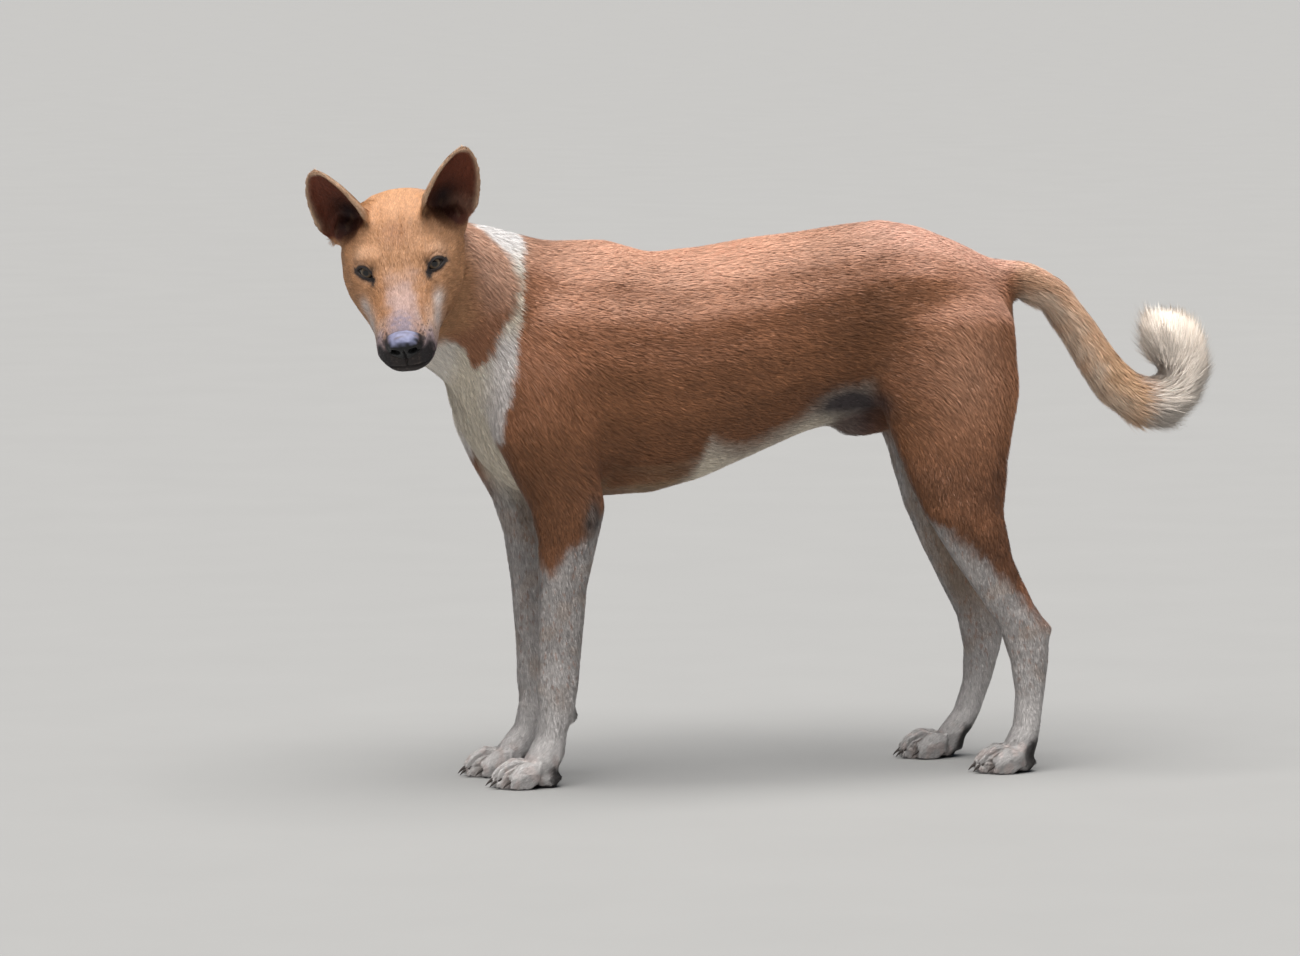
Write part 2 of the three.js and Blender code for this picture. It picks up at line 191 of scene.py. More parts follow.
def leg_weight(p):
    """1 on the free part of the legs, 0 on the trunk."""
    fore = ramp(322, 262, p[:, 2]) * ramp(-120, -150, p[:, 0])
    hind = ramp(372, 300, p[:, 2]) * ramp(98, 122, p[:, 0])
    low = ramp(285, 262, p[:, 2])
    return np.maximum(np.maximum(fore, hind), low)


def ear_frame(ear):
    """The ear's base, its axis, the way it opens and the way out from the head."""
    sign = ear["sign"]
    axis = unit(np.array([0.12, sign * ear["lean"], 0.935]))
    front = np.array([-0.9, sign * 0.4, 0.0])
    front = unit(front - axis * (front @ axis))
    return np.array([60.0, sign * ear["out"], ear["up"]]), axis, front, np.cross(front, axis) * sign


# How far up the ear's axis its hollow reaches down, for each distance out from the axis.
EAR_FLOOR = (
    (-31, 30), (-26, 17), (-20, 9), (-14, 4), (-6, 0), (3, -3), (17, -7), (26, -3), (31, 8), (34, 20),
)
EAR_FOOT = ([-30, -20, 0, 34], [28, 14, 6, 2])  # where the ear grows from the head, in the same way


def on_ear(q, ear):
    """Distances along the ear's axis, out from it and to its front, and 1 on the ear."""
    base, axis, front, out = ear_frame(ear)
    r = q - base
    a, u, o = r @ axis, r @ out, r @ front
    near = ramp(44, 38, np.abs(u)) * ramp(34, 26, np.abs(o + 2))
    return a, u, o, near * ramp(-12, 4, a - np.interp(u, *EAR_FOOT))


def ear_inside(q, n, ear):
    """1 in the ear's hollow, and how near a place is to the rim."""
    _, axis, front, out = ear_frame(ear)
    a, u, o, _ = on_ear(q, ear)
    t = np.clip(a / ear["length"], 0, 0.97)
    half = 27.5 * (1 - t**2.6) ** 0.7 + 2.2
    cup = np.radians(82 - 40 * t)
    radius = half / np.sin(cup)
    centre = 9 + radius * np.cos(cup)
    far = np.hypot(u, centre - o)
    facing = (-(n @ out) * u + (n @ front) * (centre - o)) / np.maximum(far, 1)
    shelf = ramp(40, 20, a) * ramp(28, 21, np.abs(u)) * (0.75 * (n @ axis) + 0.35 * (n @ front))
    deep = ramp(27, 20, np.abs(u)) * ramp(60, 42, a) * ramp(6, 12, a)
    facing = np.maximum(facing, shelf) * (far < radius + 1.5 + 4 * deep)
    above = ramp(-3, 4, a - line_at(u, EAR_FLOOR))
    between = ramp(half + 1, half - 2.5, np.abs(u)) * ramp(26, 18, o) * ramp(96, 90, a)
    rim = bell(np.abs(u), half, 2.6) * ramp(2, 12, a)
    rim = np.maximum(rim, ramp(ear["length"] - 8, ear["length"] - 1, a))
    return ramp(-0.05, 0.3, facing) * above * between, rim


def eye_distance(q, name):
    return np.linalg.norm(q - np.array(EYES[name]), axis=1)


def eye_axes(name):
    """The eye's own axes: the way its opening faces, the way to its outer corner, and up."""
    sign = SIDES[name]
    out = unit(np.array([-0.80, sign * 0.30, 0.50]))
    aside = unit(np.array([0.30, sign * 0.80, 0.0]))
    return out, aside, np.cross(aside, out) * sign


# The opening between the lids: corners and heights in the eye's own plane, from the eyeball's centre.
LIDS = {
    "left": dict(inner=(-10.2, -5.6), outer=(10.6, -1.6), top=7.6, bottom=2.2),
    "right": dict(inner=(-9.8, -6.6), outer=(10.8, -1.8), top=8.2, bottom=2.2),
}


def lid_space(q, name):
    """Distances from the eye's middle aside, up and out, and the one outside its opening's edge."""
    out, aside, up = eye_axes(name)
    r = q - np.array(EYES[name])
    a, b, c = r @ aside, r @ up, r @ out
    lid = LIDS[name]
    (a0, b0), (a1, b1) = lid["inner"], lid["outer"]
    t = np.clip((a - a0) / (a1 - a0), -0.6, 1.6)
    chord = b0 + (b1 - b0) * t
    bow = np.clip(4 * t * (1 - t), 0, 1)
    above = b - chord - lid["top"] * bow**0.75
    below = chord - lid["bottom"] * bow**0.85 - b
    ends = np.maximum(a0 - a, a - a1)
    return a, b, c, np.maximum(np.maximum(above, below), ends)


def mouth_height(x):
    return np.interp(x, [-100, -86, -70, -50, -36, -26], [-44, -44.5, -45, -46.5, -47, -44])


NOSE_MIDDLE = -19.5  # its height
NOSE_HALF = 18.6
NOSE_TALL = (14.6, 13.5)  # above and below the middle
NOSE_BACK = -79.0


def nose_edge(q):
    """Signed distance outside the nose pad's outline, seen from in front."""
    x, y, z = q.T
    upper = z > NOSE_MIDDLE
    half = np.where(upper, NOSE_HALF, np.interp(z, [-33, -26, NOSE_MIDDLE], [7.5, 15.5, NOSE_HALF]))
    r = np.sqrt((y / half) ** 2 + ((z - NOSE_MIDDLE) / np.where(upper, *NOSE_TALL)) ** 2)
    return np.maximum((r - 1) * 13, x - NOSE_BACK)


def nose_weight(q):
    return ramp(1.0, -1.0, nose_edge(q)) * ramp(-76, NOSE_BACK, q[:, 0])


def nostril(q, side):
    """1 in the round opening and in the slit that runs out from it."""
    x, y, z = q.T
    u = side * y
    opening = ((u - 7.9) / 4.3) ** 2 + ((z + 20.0) / 4.3) ** 2
    slit = ((u - 11.4) / 3.4) ** 2 + ((z + 22.4 + 0.25 * (u - 11.4)) / 1.3) ** 2
    return np.maximum(ramp(1.25, 0.5, opening), ramp(1.3, 0.4, slit)) * (x < -80)


def face_region(p):
    q = to_head(p)
    return (q[:, 0] < 46) & (q[:, 0] > -110) & (q[:, 2] > -84) & (np.abs(q[:, 1]) < 70) & (on_head(p) > 0.5)


def fine_region(p):
    """The nose, the lips and round the eyes."""
    q = to_head(p)
    fine = (q[:, 0] < -68) & (q[:, 2] < 2)
    for name in EYES:
        fine |= eye_distance(q, name) < 21
    lips = (q[:, 0] < -26) & (np.abs(q[:, 2] - mouth_height(q[:, 0])) < 5)
    return (fine | lips) & (on_head(p) > 0.5)


def groin(p):
    """The nearly bare skin in front of the thighs, beside the sheath."""
    return np.clip(1.6 * blob(p, (92, 0, 372), (33, 400, 17)), 0, 1) * ramp(72, 56, np.abs(p[:, 1]))


def heel_line(p):
    """X about where each paw's heel pad begins."""
    left = p[:, 1] < 0
    fore, hind = (np.where(left, paws[0][2], paws[1][2]) for paws in (FORE_PAWS, HIND_PAWS))
    return np.where(p[:, 0] < 0, fore, hind) + 44.0


def toe_gaps(p):
    """1 in the grooves between the toes."""
    gaps = np.zeros(len(p))
    for _, middle, tip in PAWS:
        y = np.abs(p[:, 1] - middle)
        here = (p[:, 0] > tip) & (p[:, 0] < tip + 44) & (y < 30) & (p[:, 2] < 36)
        near = np.maximum(bell(y, 0, 1.8), bell(y, 11.2, 1.8))
        gaps = np.maximum(gaps, here * near * ramp(40, 30, p[:, 0] - tip))
    return gaps


TAIL_PATH = (
    (250, 498), (287, 493), (323, 474), (349, 441), (374, 404), (400, 376),
    (428, 367), (450, 376), (459, 396), (459, 420), (456, 445),
)


def tail_way(p):
    """The direction of the tail's nearest stretch."""
    path = np.array(TAIL_PATH, float)
    mid = (path[1:] + path[:-1]) / 2
    step = unit(path[1:] - path[:-1])
    gap = ((p[:, None, [0, 2]] - mid[None]) ** 2).sum(axis=2)
    w = np.exp(-gap / (2 * 16.0**2)) + 1e-12
    way = (w[:, :, None] * step[None]).sum(axis=1) / w.sum(axis=1)[:, None]
    return np.stack([way[:, 0], np.zeros(len(p)), way[:, 1]], axis=1)


# ---------------- mesh tools


def read(items, name, width, kind=np.int32):
    values = np.empty(len(items) * width, kind)
    items.foreach_get(name, values)
    return values.reshape(-1, width)


def fill(items, name, values):
    items.foreach_set(name, values.astype(np.float32).ravel())


class Net:
    """A mesh's points and their neighbours."""

    def __init__(self, mesh):
        self.points = read(mesh.vertices, "co", 3, np.float32).astype(np.float64) * 1000 + SHIFT
        a, b = read(mesh.edges, "vertices", 2).T
        first, other = np.concatenate([a, b]), np.concatenate([b, a])
        order = np.argsort(first, kind="stable")
        self.first, self.other = first[order], other[order]
        self.count = np.bincount(first, minlength=len(self.points))
        self.start = np.concatenate([[0], np.cumsum(self.count)[:-1]])
        mesh.calc_loop_triangles()
        self.tris = read(mesh.loop_triangles, "vertices", 3)

    def mean(self, values):
        sums = np.add.reduceat(values[self.other], self.start, axis=0)
        return sums / (self.count[:, None] if values.ndim > 1 else self.count)

    def smooth(self, values, rate, rounds):
        values = values.astype(np.float32)
        step = (0.5 * rate).astype(np.float32)
        if values.ndim > 1:
            step = step[:, None]
        for _ in range(rounds):
            values = values + step * (self.mean(values).astype(np.float32) - values)
        return values.astype(np.float64)

    def normals(self):
        corner = self.points[self.tris]
        face = np.cross(corner[:, 1] - corner[:, 0], corner[:, 2] - corner[:, 0])
        total = np.zeros_like(self.points)
        for k in range(3):
            for axis in range(3):
                total[:, axis] += np.bincount(self.tris[:, k], face[:, axis], len(self.points))
        return unit(total)

    def store(self, mesh):
        fill(mesh.vertices, "co", to_metres(self.points))
        mesh.update()


def evaluated(thing):
    """Replaces an object's mesh by what its modifiers make of it."""
    graph = bpy.context.evaluated_depsgraph_get()
    made = bpy.data.meshes.new_from_object(thing.evaluated_get(graph))
    old = thing.data
    thing.modifiers.clear()
    thing.data = made
    bpy.data.meshes.remove(old)
    return made


def new_object(name, mesh):
    thing = bpy.data.objects.new(name, mesh)
    bpy.context.collection.objects.link(thing)
    return thing


def shade_smooth(mesh):
    mesh.polygons.foreach_set("use_smooth", np.ones(len(mesh.polygons), bool))


def drop_loose(mesh):
    """Keeps only the largest connected piece."""
    a, b = read(mesh.edges, "vertices", 2).T
    label = np.arange(len(mesh.vertices))
    while True:
        lowest = np.minimum(label[a], label[b])
        new = label.copy()
        np.minimum.at(new, label[a], lowest)
        np.minimum.at(new, label[b], lowest)
        new = new[new]
        if (new == label).all():
            break
        label = new
    lost = np.flatnonzero(label != np.bincount(label).argmax())
    bm = bmesh.new()
    bm.from_mesh(mesh)
    bm.verts.ensure_lookup_table()
    bmesh.ops.delete(bm, geom=[bm.verts[i] for i in lost], context="VERTS")
    bm.to_mesh(mesh)
    bm.free()


def paint(mesh, colours):
    layer = mesh.color_attributes.new("coat", "FLOAT_COLOR", "POINT")
    fill(layer.data, "color", np.insert(colours, 3, 1.0, axis=1))


# ---------------- the skin's shape

FLESH = [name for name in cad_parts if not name.startswith("eye_")]


def flesh_union():
    bm = bmesh.new()
    for name in FLESH:
        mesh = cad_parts[name].data.copy()
        mesh.transform(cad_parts[name].matrix_world)
        bm.from_mesh(mesh)
        bpy.data.meshes.remove(mesh)
    bmesh.ops.remove_doubles(bm, verts=bm.verts, dist=2e-5)
    bm.normal_update()
    for v in bm.verts:
        v.co += v.normal * (CUT / 1000)
    for name, place in EYES.items():  # the openings are closed here and made afresh by open_lids
        middle = np.array(place) + (0.6, -0.5 * SIDES[name], -1)
        spot = Matrix.Translation(Vector(to_metres(from_head(middle)))) @ Matrix(HEAD_AXES.tolist()).to_4x4()
        lids = Matrix.Diagonal((0.0142, 0.0156, 0.0142, 1))
        bmesh.ops.create_icosphere(bm, subdivisions=4, radius=1, matrix=spot @ lids)
    mesh = bpy.data.meshes.new("skin")
    bm.to_mesh(mesh)
    bm.free()
    mesh.materials.clear()
    skin = new_object("skin", mesh)
    remesh = skin.modifiers.new("voxels", "REMESH")
    remesh.mode = "VOXEL"
    remesh.voxel_size = VOXEL / 1000
    drop_loose(evaluated(skin))
    return skin


def smoothing_rate(p):
    q = to_head(p)
    head = on_head(p)
    rate = fade(np.full(len(p), 1.0), 0.2, leg_weight(p))
    rate = fade(rate, 0.3, on_tail(p))
    rate = fade(rate, 0.14, head)
    for ear in EARS:
        rate = fade(rate, 0.12, on_ear(q, ear)[3] * head)
    return fade(rate, 0.08, ramp(72, 56, p[:, 2]))


def round_off(net):
    """Rounds the facets off, and puts back the bulk that this takes away."""
    rate = smoothing_rate(net.points)
    before = net.points.copy()
    net.points = net.smooth(net.points, rate, 240)
    normal = net.normals()
    lost = ((before - net.points) * normal).sum(axis=1)
    lost = net.smooth(lost, rate, 160)
    net.points += normal * lost[:, None]


def refine(skin, chosen):
    """Splits the faces whose corners chosen(points) picks."""
    mesh = skin.data
    pick = chosen(Net(mesh).points)
    bm = bmesh.new()
    bm.from_mesh(mesh)
    faces = [f for f in bm.faces if all(pick[v.index] for v in f.verts)]
    edges = list({e for f in faces for e in f.edges})
    bmesh.ops.subdivide_edges(bm, edges=edges, cuts=1, use_grid_fill=True, smooth=0)
    bm.to_mesh(mesh)
    bm.free()


# Bulges and hollows as (centre, radii, height): one off the middle is there on both sides.
FACE_BUMPS = (
    ((32, 0, 24), (26, 4, 12), -1.6),  # the furrow of the forehead
    ((-6, 0, 4), (13, 15, 8), -1.6),  # the stop
    ((2, 13, 2), (9, 6, 9), -1.8),  # the hollow at each eye's inner corner
    ((24, 34, 13), (12, 12, 8), -1.4),  # a little off the full brow
    ((-16, 30, -22), (15, 9, 13), -1.6),  # the hollow under the eye
    ((14, 52, -24), (20, 9, 8), 1.6),  # the cheek bone
    ((-46, 21, -15), (22, 6, 8), -1.4),  # beside the nose's bridge
    ((-72, 22, -34), (14, 9, 12), 1.2),  # the whisker pads
    ((46, 34, 16), (13, 12, 12), 1.0),  # the temples' muscle
    ((-88, 0, -62), (9, 10, 8), -1.4),  # the chin stays back
)
BODY_BUMPS = (
    ((-196, 70, 440), (34, 40, 46), 3.0),  # the shoulder's muscle
    ((-236, 76, 372), (20, 30, 30), 3.0),  # the point of the shoulder
    ((-150, 80, 352), (20, 40, 34), -2.4),  # behind the upper arm
    ((-150, 60, 492), (22, 40, 16), -2.0),  # behind the shoulder blade
    ((112, 62, 440), (20, 40, 44), -4.0),  # the flank's hollow
    ((-20, 78, 470), (60, 40, 16), 1.2),  # the ribs
    ((158, 66, 500), (22, 30, 16), 2.0),  # the hip bone
    ((200, 66, 430), (26, 30, 40), 2.2),  # the thigh
    ((160, 66, 300), (14, 26, 20), 2.0),  # the knee
    ((232, 70, 400), (12, 30, 40), -1.6),  # behind the thigh
)


def sculpt_face(net):
    p = net.points
    q = to_head(p)
    x, y, z = q.T
    normal = net.normals() @ HEAD_AXES
    move = np.zeros_like(q)
    for centre, radii, height in FACE_BUMPS:
        for side in (-1, 1) if centre[1] else (1,):
            move += normal * (blob(q, (centre[0], side * centre[1], centre[2]), radii) * height)[:, None]

    # the lips: a groove for the mouth, and the upper lip hanging over it
    mouth = z - mouth_height(x)
    on_mouth = ramp(-24, -32, x)
    move -= normal * (bell(mouth, 0, 1.5) * on_mouth * 3.0)[:, None]
    move += normal * (bell(mouth, 4.5, 3.2) * on_mouth * 0.9)[:, None]

    # the nose pad stands out from the muzzle, with the nostrils and the groove between them
    edge = bell(nose_edge(q), 0, 1.4) * (x < -74) * (0.3 + 0.7 * ramp(-10, -16, z))
    move -= normal * (edge * 0.9)[:, None]
    move += normal * (nose_weight(q) * 0.5)[:, None]
    for side in (-1, 1):
        move += np.array([5.5, 0, 0.8]) * nostril(q, side)[:, None]
        wing = blob(q, (-92, side * 9.5, -14.6), (5, 5.5, 2.6))
        move += normal * (wing * 1.1)[:, None]
    split = bell(y, 0, 1.0) * ramp(-84, -89, x) * ramp(-15, -19, z) * ramp(-46, -42, z)
    move -= normal * (split * 2.2)[:, None]

    for ear in EARS:
        _, axis, front, _ = ear_frame(ear)
        a, u, o, _ = on_ear(q, ear)
        bowl = ramp(0, 7, a - line_at(u, EAR_FLOOR)) * ramp(34, 20, a)
        bowl *= ramp(-25, -17, u) * ramp(13, 2, u)
        bowl *= ramp(-14, -4, o) * ramp(-0.1, 0.3, normal @ (axis + front))
        move -= (0.75 * front + 0.5 * axis) * (6.0 * bowl)[:, None]
    head = on_head(p)
    net.points = p + head[:, None] * (move @ HEAD_AXES.T)
    for name in EYES:
        open_lids(net, name, head)


def open_lids(net, name, head):
    """Lays the lids round the eyeball, and sinks the opening between them behind its surface."""
    q = to_head(net.points)
    a, b, c, edge = lid_space(q, name)
    centre = np.array(EYES[name])
    r = q - centre
    far = np.linalg.norm(r, axis=1)
    front = ramp(-4, 0.5, c)
    near = front * ramp(18.5, 13.5, far) * head
    upper = ramp(-3, 3, b)
    thick = 0.9 + (1.1 + 0.9 * upper) * ramp(0.3, 4.5, edge)
    target = centre + r / far[:, None] * (EYE_RADIUS + thick)[:, None]
    w = near * ramp(11, 4, np.hypot(a, b + 2) - 5)
    q = q + (target - q) * (w * 0.92)[:, None]
    out = eye_axes(name)[0]
    q -= out * (bell(edge, 5.2, 1.2) * near * (b > 0) * 1.1)[:, None]  # a crease above the upper lid
    q -= out * (bell(edge, 4.6, 1.4) * near * (b < -4) * 0.7)[:, None]  # and one below the lower lid
    q += out * (bell(edge, 0.9, 0.8) * near * (0.3 + 0.7 * upper))[:, None]  # the lids' rims
    hole = ramp(0.1, -0.6, edge) * front * (far < 20)
    sunk = centre + unit(q - centre) * (EYE_RADIUS - 2.4)
    net.points = from_head(q + (sunk - q) * hole[:, None])


def sculpt_body(net):
    """Muscles and bones that show through the short coat, the nape and the toes."""
    p = net.points
    normal = net.normals()
    move = np.zeros(len(p))
    for centre, radii, height in BODY_BUMPS:
        for side in (-1, 1):
            move += blob(p, (centre[0], side * centre[1], centre[2]), radii) * height
    for _, y, _ in FORE_PAWS:
        move += blob(p, (-196, y, 150), (7, 5, 44)) * -1.2
        move += blob(p, (-184, y * 1.1, 266), (10, 18, 10)) * 2.4  # the elbow
        move += blob(p, (-234, y, 96), (10, 20, 12)) * 1.2  # the wrist
    for side, y, _ in HIND_PAWS:
        shift = 0 if side < 0 else 3
        for s in (-1, 1):  # between the shin and the tendon
            move -= blob(p, (262 + shift, y + s * 13, 196), (7, 7, 26)) * 3.2
        move += blob(p, (296 - shift, y, 146), (9, 12, 10)) * 2.2  # the point of the hock
    for side, middle, tip in PAWS:
        y = (p[:, 1] - middle) * side
        toes = ramp(46, 34, p[:, 0] - tip) * ramp(30, 24, np.abs(y)) * (p[:, 0] > tip - 12)
        toes *= ramp(-0.5, 0.1, normal[:, 2]) * ramp(44, 34, p[:, 2])
        move -= 3.2 * blob(p, (tip + 77, middle, 20), (6, 14, 9))
        for gap in (-11.2, 0, 11.2):
            move -= 4.6 * toes * bell(y, gap, 1.9)
        for toe in (-16.5, -5.8, 5.8, 16.5):
            move += 1.1 * toes * bell(y, toe, 3.6)
            knuckle = np.exp(-(((y - toe) / 4) ** 2) - ((p[:, 0] - tip - 27 - 0.4 * abs(toe)) / 6) ** 2)
            move += 1.5 * knuckle * toes
    nape = blob(p, (-346, -24, 562), (25, 32, 18))  # the neck runs up into the back of the skull
    net.points = p + normal * (move * (1 - on_head(p)) + 10.0 * nape)[:, None]
    round_nape = np.clip(1.6 * blob(p, (-350, -22, 566), (34, 38, 30)), 0, 1)
    net.points = net.smooth(net.points, round_nape, 90)
    end_toes(net.points)


def end_toes(points):
    """Lets each toe end where its claw comes out."""
    for side, middle, tip in PAWS:
        for offset, back in TOES:
            y = np.abs(points[:, 1] - (middle + side * offset))
            front = tip + back + 7.5 + 0.10 * y**2
            ahead = (y < 6) & (points[:, 0] < front) & (points[:, 0] > tip - 20) & (points[:, 2] < 30)
            points[ahead, 0] = (front + 0.12 * (points[:, 0] - front))[ahead]


def coat_depth(p, n):
    """How far the skin lies under the tips of the coat."""
    q = to_head(p)
    depth = 3.0 + 1.0 * ramp(0.2, 0.9, n[:, 2]) * ramp(470, 500, p[:, 2])
    depth = fade(depth, 1.8, leg_weight(p))
    depth = fade(depth, 1.5, ramp(270, 200, p[:, 2]))
    depth = fade(depth, 0.8, ramp(60, 40, p[:, 2]))
    depth = fade(depth, np.interp(p[:, 0], [280, 330, 390, 440], [4.5, 6, 8, 9]), on_tail(p))
    head = on_head(p)
    depth = fade(depth, np.interp(q[:, 0], [-90, -60, -10, 40, 90], [0.5, 0.8, 1.0, 1.6, 3.0]), head)
    for name in EYES:
        depth *= 1 - head * ramp(22, 14, eye_distance(q, name))
    for ear in EARS:
        depth = fade(depth, 0.2, on_ear(q, ear)[3] * head)
    return depth * (1 - head * nose_weight(q))


def build_skin():
    skin = flesh_union()
    net = Net(skin.data)
    round_off(net)
    sculpt_body(net)
    net.store(skin.data)
    refine(skin, face_region)
    refine(skin, fine_region)
    net = Net(skin.data)
    face = on_head(net.points) * face_region(net.points)
    net.points = net.smooth(net.points, face * 0.5, 6)
    sculpt_face(net)
    normal = net.normals()
    everywhere = np.ones(len(net.points))
    net.points -= normal * net.smooth(coat_depth(net.points, normal), everywhere, 4)[:, None]
    net.points[:, 2] = np.maximum(net.points[:, 2], 0.0)
    net.store(skin.data)
    fewer = skin.modifiers.new("fewer", "DECIMATE")
    fewer.ratio = min(1.0, SKIN_TRIANGLES / len(net.tris))
    evaluated(skin)
    return skin


# ---------------- colours

TAN = np.array([0.37, 0.160, 0.082])
# the darker tan is painted shade, laid where the trunk faces down and on the flank's hollow
TAN_SHADE_PAINTED = np.array([0.23, 0.094, 0.038])
CREAM = np.array([0.74, 0.66, 0.54])
WHITE = np.array([0.90, 0.86, 0.84])
LEG_WHITE = np.array([0.56, 0.52, 0.50])
PINK = np.array([0.42, 0.30, 0.28])
DARK_SKIN = (0.012, 0.010, 0.010)

# Borders of the markings, as (X, height) pairs
BELLY_LINE = (
    (-100, 285), (-82, 307), (-62, 350), (-18, 341), (22, 360), (50, 379), (71, 392), (110, 402), (150, 410),
)
THROAT = ((-400, 470), (-350, 464), (-334, 456), (-322, 446), (-311, 437), (-301, 421), (-285, 405))
FORE_END = (
    (-260, 262), (-240, 240), (-232, 226), (-225, 213), (-216, 224), (-207, 239), (-191, 248), (-177, 266),
    (-165, 280),
)
# and as (height, X) pairs
COLLAR_REAR = (
    (300, -272), (334, -277), (350, -274), (371, -274), (389, -270), (409, -265), (433, -261), (457, -258),
    (496, -253), (525, -250), (545, -243), (570, -236),
)
NECK_PATCH = (
    (408, -330), (420, -301), (428, -290), (448, -281), (469, -271), (487, -262), (503, -257), (520, -264),
    (535, -272), (550, -288), (561, -297), (580, -312),
)
HIND_FRONT = (
    (130, 296), (150, 278), (172, 261), (192, 243), (211, 222), (233, 194), (252, 174), (262, 154),
    (276, 124), (300, 100), (400, 70),
)


def coat_colour(p, n):
    """The skin's and coat's colour: each function lays its markings, and some painted shade and light, over
    the colours it is given.
    """
    wob = WOBBLE(p)
    fine = WOBBLE_FINE(p)
    jag = 3.0 * wob + 2.2 * fine  # how far a border strays from its line
    colour = trunk_colour(p, n, wob)
    colour = with_belly(colour, p, n, jag)
    colour = with_collar(colour, p, jag)
    colour = with_legs(colour, p, n, wob, fine, jag)
    colour = with_tail(colour, p, n, wob, jag)
    face = face_colour(to_head(p), n @ HEAD_AXES)
    return np.clip(mix(colour, face, on_head(p)), 0.01, 0.95)


def trunk_colour(p, n, wob):
    """Tan, with painted shade below, on the flank's hollow and low on the thighs and shoulders, and a
    painted sheen along the back and on the top of the neck.
    """
    x, _, z = p.T
    back = ramp(0.15, 0.95, n[:, 2])
    rump = ramp(60, 160, x)
    thigh_painted_shade = ramp(345, 285, z) * ramp(110, 140, x)
    shoulder_painted_shade = ramp(372, 320, z) * ramp(-120, -160, x)
    colour = layered(
        TAN,
        # painted shade where the trunk faces down
        (TAN_SHADE_PAINTED, 0.9 * ramp(0.45, -0.35, n[:, 2]) * ramp(-320, -240, x)),
        # painted shade on the flank's hollow
        (TAN_SHADE_PAINTED * 0.62, 0.7 * blob(p, (95, 0, 450), (62, 400, 60)) * ramp(0.5, 0.1, n[:, 2])),
        # painted sheen along the back, where the coat faces up
        (mix((0.74, 0.42, 0.29), (0.84, 0.50, 0.38), rump), (0.78 + 0.1 * rump) * back),
        ((0.47, 0.255, 0.16), blob(p, (205, 0, 405), (40, 400, 60)) * 0.6 * (1 - back)),
        # painted sheen on the top of the neck
        ((0.70, 0.47, 0.34), 0.6 * ramp(505, 560, z) * ramp(-230, -250, x)),
    )
    # painted shade low on the thighs and the shoulders
    return colour * (1 + 0.10 * MOTTLE(p) + 0.05 * wob - 0.42 * thigh_painted_shade - 0.2 * shoulder_painted_shade)[:, None]


def with_belly(colour, p, n, jag):
    x, _, z = p.T
    gap = z - line_at(x, BELLY_LINE) + 0.7 * jag
    under = highest(ramp(5, -20, gap), ramp(-0.6, -0.85, n[:, 2]) * (z < 440))
    under *= ramp(-180, -166, x) * ramp(122, 100, x) * (1 - on_tail(p)) * (1 - leg_weight(p))
    belly = mix((0.53, 0.45, 0.37), CREAM * 1.08, ramp(-12, -34, gap))
    belly = mix(belly, (0.33, 0.21, 0.12), ramp(-62, -92, x))
    sheath = np.clip(1.2 * blob(p, (104, 0, 352), (30, 40, 25)) + blob(p, (90, -42, 372), (14, 12, 9)), 0, 1)
    return layered(
        colour,
        (belly, under),
        ((0.12, 0.075, 0.068), sheath * 0.9),
        ((0.045, 0.036, 0.040), groin(p) * ramp(352, 372, z) * 0.95),
    )


def with_collar(colour, p, jag):
    """The collar, chest and throat, and the tan patch on the neck, with a painted sheen towards the patch's
    top.
    """
    x, y, z = p.T
    free = 1 - on_head(p)
    rear = ramp(3.5, -3.5, x - line_at(z, COLLAR_REAR) + 0.4 * jag)
    patch = ramp(7, -7, x - line_at(z, NECK_PATCH) + 0.7 * jag)
    patch *= ramp(-6, 6, z - line_at(x, THROAT) + 0.7 * jag)
    pale = layered(
        CREAM,
        (WHITE, ramp(500, 545, z)),
        (LEG_WHITE * 1.25, ramp(-300, -275, x) * ramp(470, 440, z)),
        (WHITE * 0.95, ramp(-310, -330, x) * 0.5),
    )
    # the tan patch grows paler towards its top: a painted sheen
    neck_tan = mix(TAN * 0.92, (0.62, 0.37, 0.26), ramp(452, 515, z + 1.5 * jag))
    brisket = ramp(50, 34, np.abs(y)) * ramp(-212, -236, x) * ramp(395, 370, z)
    return layered(
        colour,
        (pale, rear * (1 - patch) * free * ramp(250, 280, z)),
        (neck_tan, patch * rear * free * 0.9),
        (CREAM * 0.95, brisket * free),
    )


def leg_white(p, n, wob, jag):
    """1 where the legs are white: low down and inside, and in front on the right."""
    x, y, z = p.T
    outside = n[:, 1] * np.sign(y) + 0.05 * wob
    right_front = ramp(-0.3, -0.65, n[:, 0]) * (y > 0)
    fore_line = ramp(12, -12, z - line_at(x, FORE_END) + 0.9 * jag)
    fore_inside = ramp(0.1, -0.35, outside) * ramp(330, 300, z)
    hind_line = ramp(16, -9, x - line_at(z, HIND_FRONT) + 1.2 * jag)
    hind_inside = ramp(0.0, -0.4, outside) * ramp(430, 380, z)
    fore = highest(fore_line, fore_inside, right_front) * ramp(345, 305, z)
    hind = highest(hind_line, hind_inside, ramp(165, 135, z), right_front) * ramp(105, 125, x)
    return np.where(x < 0, fore, hind)


